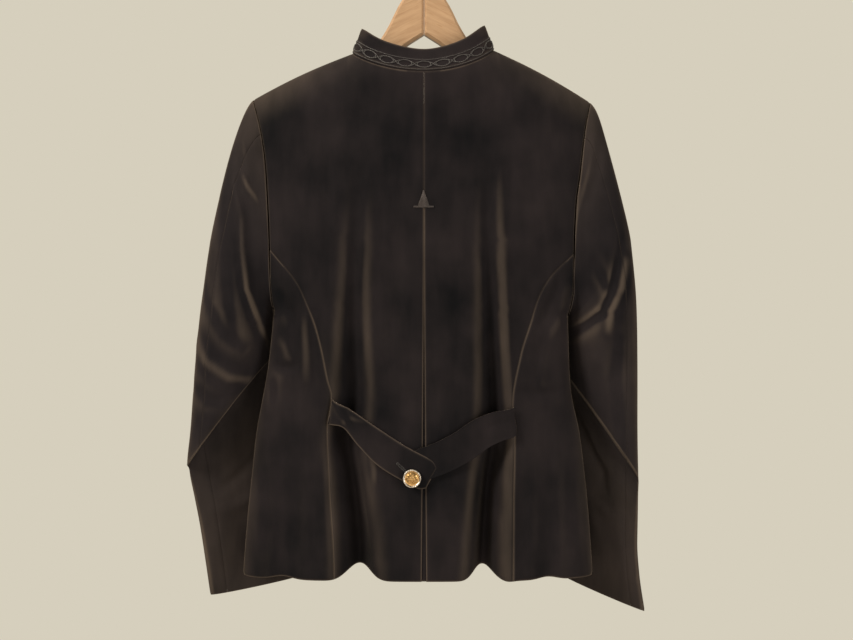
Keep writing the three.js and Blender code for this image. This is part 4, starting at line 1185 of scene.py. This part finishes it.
BELT = {
    "left": {
        "t": (0, 0.22, 0.45, 0.7, 1),
        "x": (112, 90, 66, 40, -9),
        "h": (205, 195, 174, 153, 126),
        "width": (33, 23, 31, 37, 38),
        "off": (0.7, 3.6, 4.6, 3.8, 3.1),
    },
    "right": {
        "t": (0, 0.3, 0.55, 0.75, 1),
        "x": (-105, -72, -42, -18, 24),
        "h": (193, 181, 161, 149, 135),
        "width": (34, 37, 38, 38, 37),
        "off": (1, 4.9, 2.4, 0.6, 0.5),
    },
}
BELT_THICKNESS = 2
BELT_TURN_IN = 0.75
BELT_CAUGHT = 0.16  # share of its length along which a half turns into line with the seam
BELT_CREASES = {
    "left": [
        ([(108, 219), (98, 204), (88, 190), (82, 176)], 0.9, 3, 4),
        ([(100, 190), (84, 196), (66, 190)], -0.5, 4, 4),
    ],
    "right": [
        ([(-104, 192), (-88, 190), (-70, 184)], 0.7, 5, 4),
    ],
}
BUTTON_PLACE = {"x": 14, "h": 126}
BUTTONHOLE = [(31, 143), (10, 123)]
BUTTONHOLE_STITCHES = {"side": 34, "end": 9, "reach": 1.7, "thread": 0.3, "lift": 0.25}


def belt_place(side, along, across, lift=0.0):
    """Points of a belt half's outer face, along it from the seam and from -1 to 1 across it."""
    rows = BELT[side]

    def value(column, t):
        return through(rows, "t", column, np.clip(t, 0, 1))

    step = 0.02
    dx = value("x", along + step) - value("x", along - step)
    dh = value("h", along + step) - value("h", along - step)
    length = np.hypot(dx, dh)
    to_end = np.hypot(value("x", 1) - value("x", along), value("h", 1) - value("h", along))
    half = value("width", along) / 2
    short = np.maximum(1 - to_end / (0.6 * half), 0)
    reach = across * half * np.sqrt(1 - 0.55 * short**2)
    x = value("x", along) - dh / length * reach
    height = value("h", along) + dx / length * reach
    seam_x = SIDES[side] * (princess_x(side, height) - 0.4)
    x = x + (seam_x - x) * np.clip(1 - along / BELT_CAUGHT, 0, 1)
    out = value("off", along) + BELT_THICKNESS + lift - crease_depth(BELT_CREASES[side], x, height)
    return above_body(x, height, out, False)


def belt_half(side):
    along, across = np.meshgrid(steps(110, 135), steps(26, 36) * 2 - 1, indexing="ij")
    points = belt_place(side, along, across)
    outward = -SIDES[side]
    half = wall(f"half_belt_{side}", points, body_velvet, -outward, BELT_THICKNESS, BELT_TURN_IN)
    hang(half, f"belt_{side}")


for side in SIDES:
    belt_half(side)


def belt_surface(x, height, lift):
    """Points just above the left half's outer face, near its free end."""
    x, height = np.asarray(x, float), np.asarray(height, float)
    along = np.interp(-x, -np.array(BELT["left"]["x"], float), BELT["left"]["t"])
    out = through(BELT["left"], "t", "off", along) + BELT_THICKNESS + lift
    return above_body(x, height, out, False)


def buttonhole():
    (ax, ah), (bx, bh) = BUTTONHOLE
    length = math.hypot(bx - ax, bh - ah)
    ux, uh = (bx - ax) / length, (bh - ah) / length
    sewn = BUTTONHOLE_STITCHES
    stitches = []

    def stitch(ends):
        """Sews between two ends, given along the hole and to its side."""
        x = [ax + ux * along - uh * beside for along, beside in ends]
        height = [ah + uh * along + ux * beside for along, beside in ends]
        points = belt_surface(x, height, sewn["lift"])
        stitches.append(tube(points, sewn["thread"], 5))

    for i in range(sewn["side"]):
        at = length * (i + 0.5) / sewn["side"]
        for sign in (1, -1):
            stitch([(at, 0.25 * sign), (at, sewn["reach"] * sign)])
    for i in range(sewn["end"]):
        turn = np.pi * (i + 0.5) / sewn["end"]
        stitch([(-np.sin(turn) * r, np.cos(turn) * r) for r in (0.4, sewn["reach"])])
    threads("belt_buttonhole", stitches, silk("buttonhole_thread", "#1d1918"))


buttonhole()


# Buttons
# Shank buttons of brass with a silvery raised rim and a plain rosette. One closes the half belt
# and six close the fronts.

BUTTON_PROFILE = {
    "r": (0, 2.0, 5.0, 7.4, 8.4, 9.3, 10.2, 10.8, 11.0),
    "z": (5.0, 4.9, 4.4, 3.7, 3.6, 4.3, 4.5, 3.9, 2.8),
}
BUTTON_BACK = [(10.6, 2.2), (9.2, 1.7), (3.0, 1.7), (3.0, 0.0), (0.01, 0.0)]  # radius and level
BUTTON_SIDES = 72
FRONT_BUTTONS = {"count": 6, "top": 530, "spacing": 76}


def metal(name, bright, dark, roughness, grime_mm):
    """Pressed and polished metal, dulled and darkened in patches by handling."""
    material, tree, shader = new_material(name, {"Metallic": 1.0})
    place = node(tree, "ShaderNodeTexCoord").outputs["Object"]
    patches = {"Scale": metres_scale(grime_mm), "Detail": 5.0, "Roughness": 0.65}
    grime = node(tree, "ShaderNodeTexNoise", patches, {"Vector": place}).outputs["Fac"]
    spread = node(tree, "ShaderNodeMapRange", {"From Min": 0.38, "From Max": 0.62}, {"Value": grime})
    shades = {"data_type": "RGBA", 6: colour(bright), 7: colour(dark)}
    shade = node(tree, "ShaderNodeMix", shades, {0: spread.outputs["Result"]})
    tree.links.new(shade.outputs[2], shader.inputs["Base Color"])
    dulled = {"To Min": roughness * 0.8, "To Max": roughness * 1.4}
    rough = node(tree, "ShaderNodeMapRange", dulled, {"Value": grime})
    tree.links.new(rough.outputs["Result"], shader.inputs["Roughness"])
    return material


# Warm yellow metal, browned in patches, on the button's face and shank.
brass = metal("worn_brass", "#c6a06a", "#8f6c40", 0.3, 4)
# Paler, cooler metal on the beaded rim, which catches small bright spots.
silvered = metal("silvered_rim", "#d3cdc2", "#97897a", 0.28, 3)


def button(name, cad_node, seat, normal):
    rings = np.concatenate([np.linspace(0, 8.2, 15), np.linspace(8.6, 10.9, 9), [11.0]])
    turn = np.linspace(0, 2 * np.pi, BUTTON_SIDES, endpoint=False)
    r, a = np.meshgrid(rings, turn, indexing="ij")
    z = through(BUTTON_PROFILE, "r", "z", r)
    petals = np.abs(np.cos(4 * a)) ** 0.7 * smooth(1.2, 2.6, r) * (1 - smooth(5.6, 6.8, r))
    middle = 0.45 * (1 - smooth(0.9, 1.5, r))
    beads = np.maximum(np.cos(24 * a), 0) * smooth(8.9, 9.3, r) * (1 - smooth(10.0, 10.4, r))
    z = z + 0.42 * petals + middle + 0.22 * beads
    rows = [np.stack([r[i] * np.cos(a[i]), r[i] * np.sin(a[i]), z[i]], -1) for i in range(len(rings))]
    for radius, level in BUTTON_BACK:
        rows.append(np.stack([radius * np.cos(turn), radius * np.sin(turn), level + 0 * turn], -1))
    local = np.stack(rows)
    facing = Vector(normal).normalized()
    turned = np.array(facing.to_track_quat("Z", "Y").to_matrix())
    vertices = local.reshape(-1, 3) @ turned.T + np.asarray(seat)
    faces = ring_faces(len(rows), BUTTON_SIDES)[:, [0, 3, 2, 1]]
    made = mesh_object(name, vertices, faces, brass)
    made.data.materials.append(silvered)
    rim_start = int(np.searchsorted(rings, 8.5))
    for polygon in made.data.polygons:
        if rim_start <= polygon.index // BUTTON_SIDES < len(rings):
            polygon.material_index = 1
    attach(made, "root")
    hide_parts(cad_node)


def place_buttons():
    x, height = float(BUTTON_PLACE["x"]), float(BUTTON_PLACE["h"])
    normal = body_normal("back", across_at(x, height), height, False)
    standoff = BELT["left"]["off"][-1] + BELT_THICKNESS + SEAM + 0.3
    seat = above_body(x, height, standoff, False)
    button("half_belt_button", "belt_button", seat, normal)
    for i in range(FRONT_BUTTONS["count"]):
        height = np.float64(FRONT_BUTTONS["top"] - FRONT_BUTTONS["spacing"] * i)
        normal = body_normal("front", np.float64(0), height)
        seat = body_point("front", np.float64(0), height) + normal * (LAP_LIFT + SEAM)
        button(f"front_close_button_{i + 1}", f"front_button_{i + 1}", seat, normal)


place_buttons()


# Arrowhead tack
# A triangle worked by hand in brown silk thread. It ends the centre back seam and holds the top
# of the pleat.

TACK = {"x": 0.4, "base": TACK_HEIGHT - 4.5, "width": 24, "height": 20, "stitches": 17}


def arrowhead_tack():
    stitches = []
    rows = TACK["stitches"]
    half = TACK["width"] / 2
    for i in range(rows):
        t = (i + 0.6) / rows
        edge_h = TACK["base"] + TACK["height"] * (1 - t)
        edge_x = 0.62 * half * t
        middle_h = TACK["base"] + TACK["height"] * (1 - t) * 0.62 - 0.4
        for sign in (1, -1):
            s = np.linspace(0, 1, 7)
            x = TACK["x"] + sign * (edge_x * (1 - s) - 0.5 * s)
            height = edge_h + (middle_h - edge_h) * s
            lift = 0.35 + 0.55 * np.sin(np.pi * s)
            stitches.append(tube(above_body(x, height, lift), 0.42, 5))
    s = np.linspace(-1, 1, 13)
    for level in (-0.6, 0.4):
        base = TACK["base"] + level + 0 * s
        stitches.append(tube(above_body(TACK["x"] + half * s, base, 0.5), 0.45, 5))
    threads("arrowhead_tack", stitches, silk("brown_silk_thread", "#2b211d"))


arrowhead_tack()


# Hanger
# Two flat arms of lacquered beech, mitred and joined at the middle. A ferrule of plated steel
# holds the wire hook.

BEECH = {"pale": "#b89673", "grain": "#a58362", "fleck": "#8d6238"}


def beech(name, slope):
    """Planed and lacquered beech: pale grain along the arm, with short darker flecks."""
    lacquer = {"Roughness": 0.38, "Coat Weight": 0.25, "Coat Roughness": 0.25}
    material, tree, shader = new_material(name, lacquer)
    place = node(tree, "ShaderNodeTexCoord").outputs["Object"]
    drawn_out = {"vector_type": "TEXTURE", "Rotation": (0.0, slope, 0.0), "Scale": (14.0, 1.0, 1.0)}
    along = node(tree, "ShaderNodeMapping", drawn_out, {"Vector": place}).outputs["Vector"]
    lines = {"Scale": metres_scale(5), "Detail": 6.0, "Roughness": 0.6, "Distortion": 0.4}
    grain = node(tree, "ShaderNodeTexNoise", lines, {"Vector": along}).outputs["Fac"]
    rays = {"Scale": metres_scale(1.1), "Detail": 2.0}
    flecks = node(tree, "ShaderNodeTexNoise", rays, {"Vector": along}).outputs["Fac"]
    rings = node(tree, "ShaderNodeMapRange", {"From Min": 0.35, "From Max": 0.65}, {"Value": grain})
    shades = {"data_type": "RGBA", 6: colour(BEECH["pale"]), 7: colour(BEECH["grain"])}
    wood = node(tree, "ShaderNodeMix", shades, {0: rings.outputs["Result"]})
    dark = node(tree, "ShaderNodeMapRange", {"From Min": 0.56, "From Max": 0.72}, {"Value": flecks})
    soft = node(tree, "ShaderNodeMath", {"operation": "MULTIPLY", 1: 0.4}, {0: dark.outputs["Result"]})
    over = {0: soft.outputs["Value"], 6: wood.outputs[2]}
    flecked = node(tree, "ShaderNodeMix", {"data_type": "RGBA", 7: colour(BEECH["fleck"])}, over)
    tree.links.new(flecked.outputs[2], shader.inputs["Base Color"])
    bump = node(tree, "ShaderNodeBump", {"Strength": 0.15, "Distance": 0.0002}, {"Height": flecks})
    tree.links.new(bump.outputs["Normal"], shader.inputs["Normal"])
    return material


def dress(cad_node, material):
    """Gives a CAD node that stays a finished material."""
    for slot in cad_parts[cad_node].material_slots:
        slot.material = material


dress("hanger_arm_left", beech("lacquered_beech_left", 0.45))
dress("hanger_arm_right", beech("lacquered_beech_right", -0.45))
# Pale grey and smooth, so that it mirrors the room.
plated = metal("plated_steel", "#c9c9c6", "#a3a29c", 0.22, 8)
dress("hanger_ferrule", plated)
dress("hanger_hook", plated)


# Floor, light and camera
# A pale floor below the jacket and a pale room round it. A large soft key light stands to the
# wearer's left, with weaker ones on the right, above and below. The camera is square to the back.

LIGHTS = {
    "key": {"place": (1.8, 1.3, 0.8), "aim": (0, 0, -0.45), "size": 0.8, "watts": 52, "tint": "#fff8ee"},
    "fill": {"place": (-1.9, 1.5, -0.3), "aim": (0, 0, -0.5), "size": 1.4, "watts": 25, "tint": "#fffaf4"},
    "top": {"place": (0.4, 0.1, 1.3), "aim": (0.1, 0, -0.2), "size": 1.2, "watts": 22, "tint": "#fff0dc"},
    "low": {"place": (0.2, 1.5, -1.1), "aim": (0, 0, -0.7), "size": 1.2, "watts": 7, "tint": "#fff6ea"},
}


FLOOR = {"radius": 1.05, "location": (0, 0, -1.25)}
CAMERA = {"place": (-0.003, 1.2, -0.484), "lens": 41.1, "film": 36}


def floor():
    bpy.ops.mesh.primitive_circle_add(vertices=96, fill_type="NGON", **FLOOR)
    made = bpy.context.object
    made.name = "floor"
    # Matt paint, which sends a soft light up under the jacket.
    matt = {"Base Color": colour("#d9d2c4"), "Roughness": 0.8}
    made.data.materials.append(new_material("pale_floor", matt)[0])


def area_light(name, place, aim, size, watts, tint):
    data = bpy.data.lights.new(name, "AREA")
    data.shape = "DISK"
    data.size = size
    data.energy = watts
    data.color = colour(tint)[:3]
    lamp = bpy.data.objects.new(name, data)
    lamp.location = place
    lamp.rotation_euler = (Vector(aim) - Vector(place)).to_track_quat("-Z", "Y").to_euler()
    bpy.context.scene.collection.objects.link(lamp)


def camera():
    data = bpy.data.cameras.new("camera")
    data.lens = CAMERA["lens"]
    data.sensor_width = CAMERA["film"]
    made = bpy.data.objects.new("camera", data)
    made.location = CAMERA["place"]
    made.rotation_euler = (math.pi / 2, 0, math.pi)
    bpy.context.scene.collection.objects.link(made)
    bpy.context.scene.camera = made


floor()
for light_name, light in LIGHTS.items():
    area_light(light_name, **light)
camera()

world = bpy.data.worlds.new("pale_room")
bpy.context.scene.world = world
world.use_nodes = True
background = world.node_tree.nodes["Background"]
background.inputs["Color"].default_value = colour("#d6cfbd")
seen = node(world.node_tree, "ShaderNodeLightPath").outputs["Is Camera Ray"]
# The room lights the jacket less than it shows.
strength = node(world.node_tree, "ShaderNodeMapRange", {"To Min": 0.5, "To Max": 1.0}, {"Value": seen})
world.node_tree.links.new(strength.outputs["Result"], background.inputs["Strength"])
bpy.context.scene.view_settings.view_transform = "Standard"
